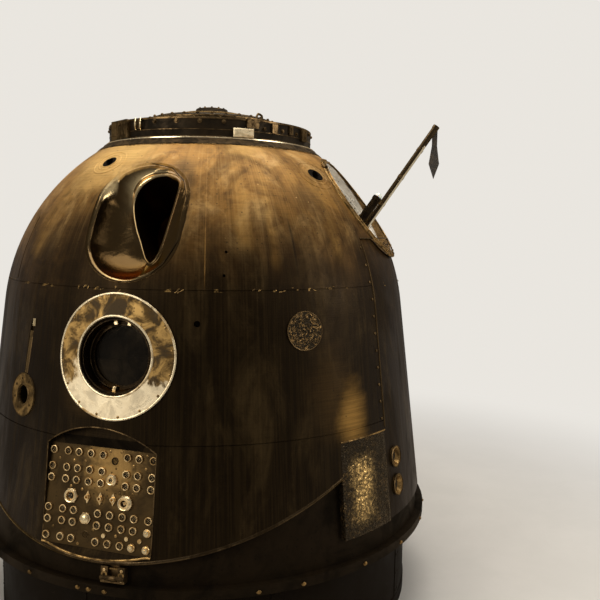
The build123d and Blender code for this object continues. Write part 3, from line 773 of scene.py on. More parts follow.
# Aged metals: bright and stained colour, scale of the stains, then what differs from the usual
finishes = {
    "skin": charAndShadingSkin("charAndShadingSkin"),
    "soot": agedMetal("sootedStructure", (0.0115, 0.0070, 0.0034), (0.0040, 0.0027, 0.0015), 3.5, 0.25,
                      (0.55, 0.75), dust=0.03, gloss=0.08),
    "seal": agedMetal("sealBrown", (0.060, 0.036, 0.013), (0.014, 0.009, 0.004), 22.0, 0.1, (0.55, 0.75),
                      gloss=0.1),
    "collar": agedMetal("sootedCollar", (0.022, 0.014, 0.0072), (0.006, 0.0045, 0.003), 9.0, 0.4,
                        (0.35, 0.62), (0.36, 0.6), gloss=0.2),
    "cream": agedMetal("creamMetal", (0.95, 0.79, 0.52), (0.38, 0.24, 0.095), 7.5, 0.5, (0.2, 0.5),
                       (0.47, 0.66), 0.7),
    "flange": windowMetal("windowMetal"),
    "bright": agedMetal("brightMetal", (0.90, 0.72, 0.43), (0.50, 0.33, 0.135), 26.0, 1.0, (0.16, 0.4),
                        (0.5, 0.7)),
    # The plate gets painted shade round a painted pool of light over its upper middle
    "plate": agedMetal("plateMetal", (0.33, 0.195, 0.063), (0.045, 0.027, 0.010), 4.2, 0.7, (0.35, 0.58),
                       (0.42, 0.64), 0.7, paintedLight=(skinPlace(-22.5, 0.46).translation, 0.05, 0.20)),
    "contact": agedMetal("contactMetal", (0.95, 0.70, 0.36), (0.42, 0.26, 0.10), 24.0, 0.85, (0.24, 0.45)),
    "brightEdge": agedMetal("polishedEdgeAndHighlight", (0.92, 0.78, 0.54), (0.66, 0.47, 0.23), 7.0, 1.0, (0.14, 0.3),
                          (0.55, 0.8), 0.1),
    "insert": agedMetal("insertBlack", (0.014, 0.0095, 0.005), (0.006, 0.0045, 0.003), 30.0, 0.0, (0.4, 0.65),
                        gloss=0.25),
    "hollow": agedMetal("hollowBlack", (0.004, 0.003, 0.002), (0.002, 0.0015, 0.001), 30.0, 0.0, (0.75, 0.95),
                        gloss=0.06),
    "burnt": agedMetal("burntMetal", (0.15, 0.095, 0.042), (0.035, 0.022, 0.010), 15.0, 0.9, (0.28, 0.55)),
    "bronze": agedMetal("bronzeTrim", (0.36, 0.22, 0.080), (0.075, 0.045, 0.017), 13.0, 0.85, (0.26, 0.5)),
    "barrel": agedMetal("barrelBlack", (0.036, 0.023, 0.011), (0.009, 0.006, 0.004), 12.0, 0.9, (0.14, 0.4)),
    "rod": agedMetal("mastMetal", (0.075, 0.050, 0.025), (0.028, 0.018, 0.009), 9.0, 1.0, (0.14, 0.36),
                     pitting=0.2),
    "pocket": pocketFinish("pocketSheet"),
    "board": paintedBoard("drumBlack", (0.0050, 0.0036, 0.0024)),
    "pale": palePaint("bayPaint"),
    "foil": crumpledFoil("crinkledChar", (0.085, 0.048, 0.015), (0.0085, 0.0055, 0.0028),
                         (0.92, 0.60, 0.22), 95.0, (36.5, -85.5)),
    "grille": crumpledFoil("crinkledPlug", (0.36, 0.21, 0.070), (0.008, 0.0055, 0.003), (0.55, 0.35, 0.13),
                           120.0),
    "glass": smokedGlass("smokedGlass"),
    "lens": frostedLens("frostedLens"),
    "tape": wovenTape("darkTape"),
}
slotFinishes = {
    "drum_paint": "board", "charred_skin": "skin", "dark_structure": "soot", "bare_metal": "cream",
    "burnt_metal": "burnt", "gloss_liner": "pocket", "pale_paint": "pale", "contact_metal": "contact",
    "rough_char": "foil", "fabric": "tape", "glass": "glass", "lens": "lens",
}
nodeFinishes = {
    "connector_plate": "plate", "latch_bracket": "burnt", "window_barrels": "barrel",
    "window_retainers": "barrel", "thruster_nozzles": "bronze", "side_slot_boss": "bronze",
    "collar_ring": "collar", "collar_deck": "collar", "collar_flange": "bright", "hatch_lid": "collar",
    "hatch_hub": "collar", "hatch_coaming": "collar", "bay_rim": "bronze", "mast_rod": "rod",
    "mast_pin": "bright", "beacon_body": "barrel", "grille_plug": "grille", "bay_bridge": "burnt",
    "window_flanges": "flange",
}
for subpart in frame["record"]["subparts"]:
    finish = nodeFinishes.get(subpart["node"], slotFinishes[subpart["material_slot"]])
    mesh = nodes[subpart["node"]].data
    mesh.materials.clear()
    mesh.materials.append(finishes[finish])
print("finishes on the structure")


# Geometry Nodes trees
def shapeTree(name, inputs, build, seed=1):
    sockets = {"Geometry": "Geometry", **inputs, "Seed": seed, "Material": "Material"}
    tree, inlet, outlet = newGroup(name, "GeometryNodeTree", sockets, {"Geometry": "Geometry"})
    real = add("GeometryNodeRealizeInstances", {0: build(inlet)})
    plug(outlet["Geometry"], add("GeometryNodeSetMaterial", {0: real, "Material": inlet["Material"]}))
    return tree


def lift(geometry, height):
    shift = put(geometry.tree, "ShaderNodeCombineXYZ", {2: height})
    return add("GeometryNodeTransform", {"Geometry": geometry, "Translation": shift})


def drum(sides, radius, depth, height):
    # Cylinder whose middle is at a height
    sockets = {"Vertices": sides, "Radius": radius, "Depth": depth}
    return lift(add("GeometryNodeMeshCylinder", sockets), height)


def taper(sides, low, high, depth):
    sockets = {"Vertices": sides, "Radius Top": high, "Radius Bottom": low, "Depth": depth}
    return add("GeometryNodeMeshCone", sockets)


def allOf(*shapes):
    return add("GeometryNodeJoinGeometry", {0: list(shapes)})


def named(tree, key, kind):
    return put(tree, "GeometryNodeInputNamedAttribute", {"Name": key}, data_type=kind)


def onSpots(inlet, shape, turnRange=math.tau, sizeRange=(1.0, 1.0)):
    # Copies of a shape on the spots, facing out, with a random turn and size
    facingWay = named(shape.tree, "facing", "FLOAT_VECTOR")
    aligned = add("FunctionNodeAlignRotationToVector", {"Vector": facingWay}, axis="Z")
    turn, size = (add("FunctionNodeRandomValue", {2: low, 3: high, "Seed": inlet["Seed"]}, 1)
                  for low, high in ((0.0, turnRange), sizeRange))
    spin = add("FunctionNodeAxisAngleToRotation", {"Axis": (0, 0, 1), "Angle": turn})
    turned = add("FunctionNodeRotateRotation", {"Rotation": aligned, "Rotate By": spin},
                 rotation_space="LOCAL")
    sockets = {"Points": inlet["Geometry"], "Instance": shape, "Rotation": turned, "Scale": size}
    return add("GeometryNodeInstanceOnPoints", sockets)


def boltShape(inlet):
    # Washer, head with cut-back corners, and the shank's end in the middle
    radius, height, washer = inlet["Head Radius"], inlet["Head Height"], inlet["Washer Height"]
    whole = allOf(drum(20, inlet["Washer Radius"], washer, washer * 0.5),
                  drum(inlet["Sides"], radius, height, height * 0.5 + washer),
                  lift(taper(18, radius * 0.9, radius * 0.72, height * 0.2), height + washer),
                  drum(12, radius * 0.34, height * 0.3, height * 1.3 + washer))
    return onSpots(inlet, whole)


def screwShape(inlet):
    # Flat head with a slot across it
    radius, height = inlet["Radius"], inlet["Height"]
    head = allOf(drum(20, radius, height * 2.0, 0.0),
                 lift(taper(20, radius, radius * 0.82, height * 0.4), height))
    bar = add("GeometryNodeMeshCube", {"Size": join(radius * 3.0, inlet["Slot Width"], height)})
    sockets = {"Mesh 1": head, "Mesh 2": lift(bar, height * 1.25)}
    return onSpots(inlet, add("GeometryNodeMeshBoolean", sockets, operation="DIFFERENCE"))


def pinShape(inlet):
    # A ring of contact pins round a middle pin
    height = inlet["Pin Height"]
    pin = drum(8, inlet["Pin Radius"], height, height * 0.5)
    circle = add("GeometryNodeMeshCircle", {"Vertices": inlet["Pin Count"], "Radius": inlet["Circle Radius"]})
    outer = add("GeometryNodeInstanceOnPoints", {"Points": circle, "Instance": pin})
    return onSpots(inlet, allOf(outer, pin))


def toothShape(inlet):
    # Ragged teeth along a ring: wedges of mixed size
    size = join(inlet["Width"], inlet["Length"], inlet["Thickness"])
    return onSpots(inlet, add("GeometryNodeMeshCube", {"Size": size}), 0.5, (0.55, 1.25))


def flakeShape(inlet):
    # Thin chips of lifted coat
    flake = taper(5, inlet["Size"], inlet["Size"] * 0.4, inlet["Thickness"])
    longer = add("GeometryNodeTransform", {"Geometry": flake, "Scale": (1.9, 0.7, 1)})
    return onSpots(inlet, longer, 0.9, (0.35, 1.3))


def beadShape(inlet):
    # Round bead along every line of the mesh
    line = add("GeometryNodeMeshToCurve", {"Mesh": inlet["Geometry"]})
    sockets = {"Resolution": inlet["Sides"], "Radius": inlet["Radius"]}
    profile = add("GeometryNodeCurvePrimitiveCircle", sockets)
    return add("GeometryNodeCurveToMesh", {"Curve": line, "Profile Curve": profile, "Fill Caps": True})


def crumpleShape(inlet):
    # Crumples a sheet along its normals. The "keep" attribute holds its edges still.
    tree = inlet["Scale"].tree
    spot, normal = (put(tree, f"GeometryNodeInput{kind}") for kind in ("Position", "Normal"))
    spot = add("ShaderNodeVectorMath", {0: spot, 1: join(1.0, 1.0, inlet["Stretch"])}, operation="MULTIPLY")
    sockets = {"Vector": spot, "W": inlet["Seed"], "Scale": inlet["Scale"], "Detail": 4.0, "Roughness": 0.6,
               "Distortion": 0.6}
    folds = add("ShaderNodeTexNoise", sockets, "Fac", noise_dimensions="4D")
    rise = calc("ABSOLUTE", folds - 0.5) * named(tree, "keep", "FLOAT") * (inlet["Height"] * 6.0)
    shift = add("ShaderNodeVectorMath", {0: normal, "Scale": rise}, operation="SCALE")
    return add("GeometryNodeSetPosition", {"Geometry": inlet["Geometry"], "Offset": shift})


boltHeads = shapeTree("boltHeads", {"Sides": 6, "Head Radius": 0.008, "Head Height": 0.006,
                                    "Washer Radius": 0.011, "Washer Height": 0.0015}, boltShape)
slottedScrews = shapeTree("slottedScrews", {"Radius": 0.005, "Height": 0.0014, "Slot Width": 0.0014},
                          screwShape)
contactPins = shapeTree("contactPins", {"Pin Count": 6, "Circle Radius": 0.006, "Pin Radius": 0.0011,
                                        "Pin Height": 0.003}, pinShape)
raggedTeeth = shapeTree("raggedTeeth", {"Width": 0.006, "Length": 0.012, "Thickness": 0.004}, toothShape, 3)
liftedFlakes = shapeTree("liftedFlakes", {"Size": 0.006, "Thickness": 0.0012}, flakeShape, 5)
roundBead = shapeTree("roundBead", {"Radius": 0.0015, "Sides": 8}, beadShape)
crumpledSheet = shapeTree("crumpledSheet", {"Height": 0.003, "Scale": 60.0, "Stretch": 1.0}, crumpleShape, 2)


def growPiece(name, mesh, tree, values, finish, body="capsule", angle=35):
    # Runs a tree on a mesh, keeps the result as one plain mesh, and drops the modifier
    piece = addObject(name, mesh)
    modifier = piece.modifiers.new("shape", "NODES")
    modifier.node_group = tree
    given = {**values, "Material": finishes[finish]}
    for item in tree.interface.items_tree:
        if item.in_out == "INPUT" and item.name in given:
            modifier[item.identifier] = given[item.name]
    graph = bpy.context.evaluated_depsgraph_get()
    plain = bpy.data.meshes.new_from_object(piece.evaluated_get(graph))
    piece.modifiers.remove(modifier)
    piece.data = plain
    smoothMesh(plain, angle)
    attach(piece, body)


def spotMesh(spots):
    mesh = bpy.data.meshes.new("spots")
    mesh.from_pydata([place.translation for place in spots], [], [])
    ways = mesh.attributes.new("facing", "FLOAT_VECTOR", "POINT")
    for item, place in zip(ways.data, spots):
        item.vector = place.to_3x3() @ upward
    return mesh


def bolts(name, spots, size, finish="burnt", body="capsule", sides=6):
    values = {"Sides": sides, "Head Radius": size, "Head Height": size * 0.75, "Washer Radius": size * 1.4,
              "Washer Height": size * 0.2, "Seed": 1}
    growPiece(name, spotMesh(spots), boltHeads, values, finish, body)


def screws(name, spots, size, seed, finish="burnt"):
    values = {"Radius": size, "Height": size * 0.3, "Slot Width": size * 0.3, "Seed": seed}
    growPiece(name, spotMesh(spots), slottedScrews, values, finish)


def lineMesh(lines):
    mesh = bpy.data.meshes.new("lines")
    points = []
    edgeList = []
    for line in lines:
        edgeList += [(len(points) + step, len(points) + step + 1) for step in range(len(line) - 1)]
        points += line
    mesh.from_pydata(points, edgeList, [])
    return mesh


def skinLine(stops, steps, rise):
    # Line over the skin through (azimuth, height) stops
    ways = [skinWay(start, end, steps, -rise)[:-1] for start, end in zip(stops, stops[1:])]
    return [place.translation for way in ways for place in way] + [skinPlace(*stops[-1], -rise).translation]


def smoothLoop(stops, steps):
    # Closed Catmull-Rom curve through the stops, which are vectors
    count = len(stops)
    points = []
    for index in range(count):
        before, first, second, after = (stops[(index + step) % count] for step in (-1, 0, 1, 2))
        for t in shares(steps)[:-1]:
            points.append(0.5 * (2 * first + (second - before) * t
                                 + (2 * before - 5 * first + 4 * second - after) * t**2
                                 + (3 * first - before - 3 * second + after) * t**3))
    return points


print("trees built")


# Reserve pocket: one glossy sheet that rolls in from the skin, with the throat's rolled mouth rising in it
pocket = {
    "azimuth": -20.5,
    "elevation": 31,
    "radius": 0.194,
    "lift": 0.04,
    "halfStraight": 0.084,
    "wall": 0.0103,
    "middle": (0.055, 0.02),
    "mouth": [(-74, 114), (-70, 158), (-46, 196), (4, 217), (66, 213), (112, 197), (143, 174), (155, 146),
              (154, 105), (149, 50), (143, -10), (137, -70), (128, -130), (112, -176), (82, -192), (52, -168),
              (29, -130), (5, -85), (-25, -33), (-51, 24), (-68, 72)],
    "mouthDepth": 0.048,
    "mouthTilt": math.tan(math.radians(17)),
    "throatSide": 0.05,
    "throatLean": math.radians(10),
    "lipRadius": 0.0045,
    "saddleRadius": 0.0095,
    "saddle": (-0.6, 0.8),
    "lipInset": 0.0112,
    "throatDepth": 0.318,
    "throatRings": (-0.09, -0.12, -0.17, -0.23, -0.29),
    "ledgeNear": 0.069,
    "ledgeFar": 0.128,
    "saddleRoll": 0.048,
    "saddleFrom": 0.06,
    "saddleRun": 0.12,
    "footGap": 0.006,
    "rollGap": 0.006,
    "throatTaper": 0.007,
    "soot": 0.45,
    "burnDepths": (0.030, 0.020),
    "floorSteps": 21,
    "rollSteps": 12,
}
pocketPlace = domePlace(pocket["azimuth"], pocket["elevation"])
pocketMiddle = Vector(pocket["middle"])


def limit(value):
    return min(max(value, 0), 1)


def domeDepth(x, y):
    return domeDrop(math.hypot(x, y))


def scoopDepth(x, y, radius):
    # Height of the round trough over the pocket's plane, or None outside it
    over = max(abs(y) - pocket["halfStraight"], 0)
    across = radius**2 - x**2 - over**2
    return pocket["lift"] - math.sqrt(across) if across > 0 else None


def troughEdge(direction, radius):
    # Distance from the pocket's middle at which the trough comes up to the skin
    def outside(reach):
        x, y = pocketMiddle + direction * reach
        depth = scoopDepth(x, y, radius)
        return depth is None or depth > domeDepth(x, y)

    return narrow(outside, 0.5)


def mouthHeight(x, y):
    lean = pocket["throatLean"]
    across = (x - pocket["throatSide"]) * math.cos(lean) + y * math.sin(lean)
    return -pocket["mouthDepth"] + across * pocket["mouthTilt"]


def bezier(stops, share):
    while len(stops) > 1:
        stops = [first.lerp(second, share) for first, second in zip(stops, stops[1:])]
    return stops[0]


def pocketProfile(spot, away):
    # From the skin down the trough, up and over the throat's lip and down the throat.
    # Each point has how burnt it is and how much painted highlight it gets.
    broad = max(away.dot(Vector(pocket["saddle"]).normalized()), 0) ** 2
    radius = pocket["lipRadius"] + pocket["saddleRadius"] * broad
    crest = radius - pocket["lipInset"]
    foot = spot + away * (crest + radius + pocket["footGap"])
    direction = (foot - pocketMiddle).normalized()
    footReach = (foot - pocketMiddle).length
    edge, hole = (troughEdge(direction, pocket["radius"] + more) for more in (0, pocket["wall"]))
    ledge = 1 - limit((hole - footReach - pocket["ledgeNear"]) / (pocket["ledgeFar"] - pocket["ledgeNear"]))
    ledge = ledge * ledge * (3 - 2 * ledge)
    rim = mouthHeight(*spot)
    # At the upper left the skin rolls in over a broad gentle saddle
    upper = limit((direction.y * edge - pocket["saddleFrom"]) / pocket["saddleRun"])
    left = limit(0.35 - direction.x * 1.4)
    saddle = upper * left * (1 - ledge)
    underside = max(-direction.x * 0.2 - direction.y * 0.98, 0) ** 30
    rollEnd = edge - pocket["rollGap"] - pocket["saddleRoll"] * saddle

    def floorAt(reach):
        # The trough's floor, raised nearly flush where the throat comes near the skin
        x, y = pocketMiddle + direction * reach
        near = limit((reach - footReach) / max(rollEnd - footReach, 0.004))
        sag = 0.003 * math.sin(math.pi * near)
        bridge = (rim - 0.005) * (1 - near) + (domeDepth(x, y) - 0.002) * near - sag
        return scoopDepth(x, y, pocket["radius"]) * (1 - ledge) + bridge * ledge

    def at(reach, depth):
        return Vector((*(pocketMiddle + direction * reach), depth))

    def fromMouth(reach, depth):
        return Vector((*(spot + away * reach), depth))

    surface = domeDepth(*(pocketMiddle + direction * hole))
    drop = 0.001 + 0.003 * (1 - ledge)
    profile = [(at(hole + 0.004, surface - 0.0025), 0), (at(hole + 0.004, surface + 0.0004), 0)]
    roll = [at(hole + 0.002, surface + 0.0008), at(edge + 0.003, surface + 0.0012),
            at(edge - 0.003 - 0.026 * saddle, surface - drop - 0.004 * saddle), at(rollEnd, floorAt(rollEnd))]
    for share in shares(pocket["rollSteps"]):
        # Painted highlight along the roll, strongest on its underside, and a painted reflection over the
        # saddle
        paintedGleam = math.sin(math.pi * share) ** 5 * (0.02 + 0.04 * left + 0.5 * underside) * (1 - saddle)
        paintedGleam += min(1.8 * saddle, 1) * min(4 * share, 1) * min(3.2 - 3.2 * share, 1)
        profile.append((bezier(roll, share), paintedGleam))
    for share in shares(pocket["floorSteps"])[1:]:
        reach = rollEnd + (footReach - rollEnd) * share
        profile.append((at(reach, floorAt(reach)), broad * share**2 * 0.8))
    floor = floorAt(footReach)
    lipLevel = rim - radius
    climb = [at(footReach, floor), fromMouth(crest + radius + 0.001, floor),
             fromMouth(crest + radius, floor * 0.5 + lipLevel * 0.5), fromMouth(crest + radius, lipLevel)]
    # Painted highlight along the throat's lip, broadest at the upper left
    lipGleam = 0.05 + 0.9 * broad + 0.15 * left
    profile += [(bezier(climb, share), lipGleam * share**2) for share in shares(7)[1:]]
    for share in shares(8)[1:]:
        turn = math.pi * share
        paintedGleam = lipGleam * min(1.0, 2.2 * math.cos(turn / 2) ** 2)
        level = lipLevel + radius * math.sin(turn)
        profile.append((fromMouth(crest + radius * math.cos(turn), level), paintedGleam))
    inner = crest - radius
    throatFoot = -pocket["throatDepth"]
    profile += [(fromMouth(inner, min(depth, lipLevel - 0.01 + depth * 0.1)), 0)
                for depth in pocket["throatRings"]]
    profile.append((fromMouth(inner - pocket["throatTaper"], throatFoot), 0))
    profile += [(Vector((*pocketMiddle.lerp(spot, share), throatFoot - 0.003)), 0) for share in (0.6, 0.3)]
    sooted = pocket["soot"] * (1 - upper)
    least, more = pocket["burnDepths"]
    reachDown = least + more * upper * (1 - ledge)
    return [(point, min(max((domeDepth(point.x, point.y) - point.z - 0.003) / reachDown, 0) + sooted, 1),
             min(paintedGleam, 1)) for point, paintedGleam in profile]


def buildPocket():
    outline = smoothLoop([Vector(spot) / 1000 for spot in pocket["mouth"]], 9)
    count = len(outline)
    rows = []
    for index, spot in enumerate(outline):
        along = outline[(index + 1) % count] - outline[index - 1]
        away = Vector((-along.y, along.x)).normalized()
        rows += pocketProfile(spot, -away if away.dot(spot - pocketMiddle) < 0 else away)
    width = len(rows) // count
    mesh = bpy.data.meshes.new("pocketSheet")
    faces = [*gridFaces(count, width), tuple(range(width - 1, count * width, width))]
    mesh.from_pydata([pocketPlace @ point for point, burn, polish in rows], [], faces)
    for key, column in (("burn", 1), ("polish", 2)):
        layer = mesh.attributes.new(key, "FLOAT", "POINT")
        for item, row in zip(layer.data, rows):
            item.value = row[column]
    shape = bmesh.new()
    shape.from_mesh(mesh)
    bmesh.ops.recalc_face_normals(shape, faces=shape.faces)
    # An open sheet: turn it so that its faces look out of the pocket
    inside = pocketPlace @ Vector((-0.1, 0, -0.12))
    test = min(shape.faces, key=lambda face: (face.calc_center_median() - inside).length)
    if test.normal.dot(pocketPlace.to_3x3() @ upward) < 0:
        bmesh.ops.reverse_faces(shape, faces=shape.faces)
    shape.to_mesh(mesh)
    shape.free()
    smoothMesh(mesh, 60)
    return mesh


pocketPiece = addPiece("pocketSheet", buildPocket(), "pocket")
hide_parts("pocket_liner", "pocket_throat")

# Seams in the skin, by their ends or stops: azimuth and height. The last runs down the pocket's right side.
seams = {
    "low": [104, -168, -90],
    "high": [(104, 1.69), (131, 1.69), (-168, 1.70), (-121, 1.69), (-90, 1.60)],
    "stops": [
        [(-61.3, 1.40), (-59.4, 1.14)],
        [(-24, 1.628), (-20.4, 1.62), (-13.1, 1.601), (-8.6, 1.55), (-6.9, 1.474), (-6.6, 1.40), (-7.6, 1.33),
         (-11.3, 1.226), (-14, 1.19)],
    ],
    "front": [(-1.6, 1.70), (-1.1, 1.14)],
}
skinSeams = [seams["stops"][0], *([(azimuth, top), (azimuth, 1.14)] for azimuth, top in seams["high"]),
             *([(azimuth, 1.12), (azimuth, 0.57)] for azimuth in seams["low"]), seams["stops"][1]]
seamKinds = (("skinSeams", skinSeams, 20, -0.0004, 0.0013, "soot"),
             ("frontSeam", [seams["front"]], 40, -0.0006, 0.0011, "skin"))
for name, lines, steps, sink, radius, finish in seamKinds:
    growPiece(name, lineMesh([skinLine(stops, steps, sink) for stops in lines]), roundBead,
              {"Radius": radius, "Sides": 6}, finish)

# Flakes of lifted coat along the upper joint
chips = random.Random(11)
flakeSpots = []
flakeAzimuths = (-31, -22, -7, 11, 17, 20, 25, 30, 52, 66, 88, 104, 120, 149, 170, 190, 215, 236, 262, 281)
for centre in flakeAzimuths:
    for turn in range(chips.randint(2, 5)):
        height = hull["upperJoint"] + chips.uniform(-0.007, 0.009)
        flakeSpots.append(skinPlace(centre + chips.gauss(0, 0.9), height, -0.0002))
flakeValues = {"Size": 0.0038, "Thickness": 0.0012, "Seed": 5}
growPiece("jointFlakes", spotMesh(flakeSpots), liftedFlakes, flakeValues, "bronze")
print("pocket and seams done,", len(flakeSpots), "flakes")

# Windows: beads on the flange's two edges, flush screws, clips on the retaining ring.
# Profiles here and below are (radius, height).
windows = {
    "azimuths": (-21.5, 158.5), "proud": 0.006,
    "beads": ((0.1515, 0.0045, 0.0032), (0.236, 0.004, 0.0018)),
    "linings": ([(0.1475, -0.004), (0.1455, -0.001), (0.1425, -0.0035), (0.1415, -0.012), (0.1365, -0.016),
                 (0.1355, -0.03), (0.1355, -0.04), (0.1475, -0.04)],
                [(0.1355, -0.0535), (0.131, -0.0525), (0.1285, -0.0555), (0.1285, -0.0635),
                 (0.1355, -0.0635)]),
    "screwCircle": 0.226, "screwCount": 16, "retainerCircle": 0.1225, "retainerScrews": 12,
    "retainerDepth": 0.0645,
    "clipTurns": (75, 101, 352, 262), "clipSpot": (0, 0.1285, -0.0535), "clipSize": (0.016, 0.02, 0.009),
    "clipStud": [(0, 0.0115), (0.0035, 0.0115), (0.0042, 0.0095), (0.0042, 0.008), (0, 0.008)],
}


def flangeSpot(place, turn, radius, rise=0.0):
    # Point on the flange, which follows the skin
    spot = meetSkin(place @ circleSpot(radius, turn, -0.08), place.to_3x3() @ upward)
    out = skinNormal(spot)
    return spot + out * (windows["proud"] + rise), out


beadChunks, liningChunks, screwSpots, clipChunks, ringScrews = [], [], [], [], []
for azimuth in windows["azimuths"]:
    place = skinPlace(azimuth, hull["windowHeight"])
    for radius, across, up in windows["beads"]:
        line = [flangeSpot(place, turn, radius) for turn in turnsOf(120)]
        beadChunks.append(bead(line, across, up, 10, True))
    liningChunks += [lathe(profile, place, 120, True) for profile in windows["linings"]]
    screwSpots += [facing(*flangeSpot(place, turn, windows["screwCircle"], -0.0008))
                   for turn in turnsOf(windows["screwCount"], 0.35)]
    ringScrews += spotRing(place, windows["retainerCircle"], windows["retainerScrews"],
                           0.0012 - windows["retainerDepth"])
    for turn in windows["clipTurns"]:
        seat = shifted(spun(place, math.radians(turn - 90)), *windows["clipSpot"])
        clipChunks += [block(seat, windows["clipSize"], 0.002), lathe(windows["clipStud"], seat, 16)]
addPiece("windowBeads", beadChunks, "cream")
addPiece("windowLinings", liningChunks, "barrel")
addPiece("windowClips", clipChunks, "bright")
screws("windowScrews", screwSpots, 0.0052, 4, "bronze")
screws("windowRingScrews", ringScrews, 0.0036, 6, "bronze")
print("windows done")

# Connector plate: holes, screws, plugs and blanks by their millimetres from the plate's middle
plate = {
    "azimuth": -24.4, "height": 0.345, "lean": math.radians(4.2), "drop": 0.036, "halfWidth": 0.235,
    "halfLength": 0.19,
    "archRise": 0.078, "ledgeRun": 0.036, "ledgeRise": 0.024,
    "columns": (-216, -152, -104, -51, 2, 54, 107, 156, 216), "topRows": (162, 100, 56),
    "lowRows": (-57, -101, -162),
    "bore": 0.0113,
    "filled": [(216, -162), (216, -101), (156, -162)],
    "screws": [(29, 177), (78, 179), (-125, 128), (-75, 131), (133, 133), (186, 128), (186, 176), (-78, 24),
               (84, 27), (-75, -179), (-128, 30), (140, 30), (-190, 130), (-14, -120), (84, -130),
               (-190, -130)],
    "plugs": ((-122, -5, 0.025, 0.012), (114, -5, 0.025, 0.018), (48, 73, 0.018, 0.014)),
    "pinTurn": 1.5 / math.tau,
    "plugPin": [(0, 0.003), (0.0016, 0.003), (0.0022, 0.0018), (0.0022, 0), (0, 0)],
    "domedCap": [(0, 0.0178), (0.006, 0.0178), (0.0155, 0.0150), (0.0186, 0.0120), (0.0193, 0.0075),
                 (0.0215, 0.0055), (0.0215, 0.0035), (0, 0.0035)],
    "blanks": [(52, 143), (-46, -142)],
    "blankRing": [(0.0148, -0.0035), (0.0148, 0.0006), (0.0135, 0.0012), (0.0125, 0.0004), (0.0125, -0.0035)],
    "rimRing": [(0.0150, 0.0066), (0.0143, 0.0080), (0.0126, 0.0082), (0.0114, 0.0070)],
    "wireGap": 0.0036,
    "wireReach": 0.0128,
}
plateSpot = skinPlace(plate["azimuth"], plate["height"]).translation
platePlace = shifted(placeAt(plateSpot, plate["azimuth"], cone + plate["lean"]), 0, 0, -plate["drop"])


def onPlate(spots, rise=0.0):
    return [shifted(platePlace, x / 1000, y / 1000, rise) for x, y in spots]


def plateEdge(x, y, direction=(0, 0, 1)):
    # Where the recess's side comes out of the skin, over a point of the plate
    turned = (platePlace.to_3x3() @ Vector(direction)).normalized()
    return meetSkin(platePlace @ Vector((x, y, 0)), turned)


socketSpots = [(x, y) for y in plate["topRows"] for x in plate["columns"] if x != 54]
socketSpots += [(x, y) for y in plate["lowRows"] for x in plate["columns"] if x != -51]
openSockets = [spot for spot in socketSpots if spot not in plate["filled"]]
insertValues = {"Sides": 20, "Head Radius": plate["bore"], "Head Height": 0.0035,
                "Washer Radius": plate["bore"], "Washer Height": 0.0005, "Seed": 2}
pinValues = {"Pin Count": 6, "Circle Radius": 0.0066, "Pin Radius": 0.0010, "Pin Height": 0.0026, "Seed": 9}
growPiece("socketInserts", spotMesh(onPlate(openSockets, -0.0035)), boltHeads, insertValues, "insert")
growPiece("socketPins", spotMesh(onPlate(openSockets, 0.0004)), contactPins, pinValues, "contact")
bolts("socketCaps", onPlate(plate["filled"], 0.0055), 0.0105, "bright", sides=24)
screws("plateScrews", onPlate(plate["screws"], -0.0006), 0.0058, 8, "bronze")
rimChunks = []
for place in onPlate(socketSpots):
    key = shifted(spun(shifted(place, 0, 0, 0.0062), math.radians(40)), 0, 0.0125)
    rimChunks += [lathe(plate["rimRing"], place, 28, True), block(key, (0.004, 0.0055, 0.0028), 0.0006)]
addPiece("socketRims", rimChunks, "contact")

plugChunks, darkChunks = [], []
for x, y, radius, height in plate["plugs"]:
    # Threaded collar with a rolled top edge
    place = onPlate([(x, y)])[0]
    pitch = (height - 0.006) / 6
    thread = [(radius + 0.0006, 0.004)]
    for turn in range(6):
        level = 0.0045 + pitch * turn
        thread += [(radius + 0.0012, level), (radius + 0.0002, level + pitch / 2)]
    thread += [(radius + 0.0008, height), (radius - 0.001, height + 0.0016),
               (radius - 0.004, height + 0.0006), (radius - 0.004, 0.004)]
    plugChunks.append(lathe(thread, place, 48, True))
    darkChunks.append(lathe([(0, 0.0085), (radius * 0.42, 0.0085), (radius * 0.46, 0.006),
                             (radius * 0.46, 0.002), (0, 0.002)], place, 32))
    pinPlaces = spotRing(place, radius * 0.24, 3, 0.0075, plate["pinTurn"])
    plugChunks += [lathe(plate["plugPin"], pinPlace, 12) for pinPlace in pinPlaces]
plugChunks.append(lathe(plate["domedCap"], onPlate([(-51, -82)])[0], 40))
addPiece("plugCollars", plugChunks, "bright")
addPiece("plugMiddles", darkChunks, "insert")

# Blank holes with a wire grille
grilleChunks = []
for place in onPlate(plate["blanks"]):
    grilleChunks.append(lathe(plate["blankRing"], place, 32, True))
    for step in range(-3, 4):
        level = step * plate["wireGap"]
        half = math.sqrt(plate["wireReach"] ** 2 - level**2)
        for ends in ([(-half, level, -0.002), (half, level, -0.002)],
                     [(level, -half, -0.001), (level, half, -0.001)]):
            line = [(place @ Vector(end), platePlace.to_3x3() @ upward) for end in ends]
            grilleChunks.append(bead(line, 0.0007, 0.0007, 6))
addPiece("blankGrilles", grilleChunks, "burnt")

# Lips round the recess: a bright one along its foot, thin ones up the sides and over the arch
half, length, rise = plate["halfWidth"], plate["halfLength"], plate["archRise"]
footDirection = Vector((0, -plate["ledgeRun"] / plate["ledgeRise"], 1))
footLine = [plateEdge(-half + 2 * half * share, -length, footDirection) for share in shares(40)]
bow = (half**2 + rise**2) / (2 * rise)
archLine = []
for share in shares(40):
    x = -half + 2 * half * share
    archLine.append(plateEdge(x, length + rise - bow + math.sqrt(bow**2 - x**2)))
sideLines = [[low, *(plateEdge(side, -length + 0.02 + (2 * length - 0.02) * share) for share in shares(40))]
             for side, low in ((-half, footLine[0]), (half, footLine[-1]))]


def skinBead(line, across, up):
    return bead([(point, skinNormal(point)) for point in line], across, up, 10)


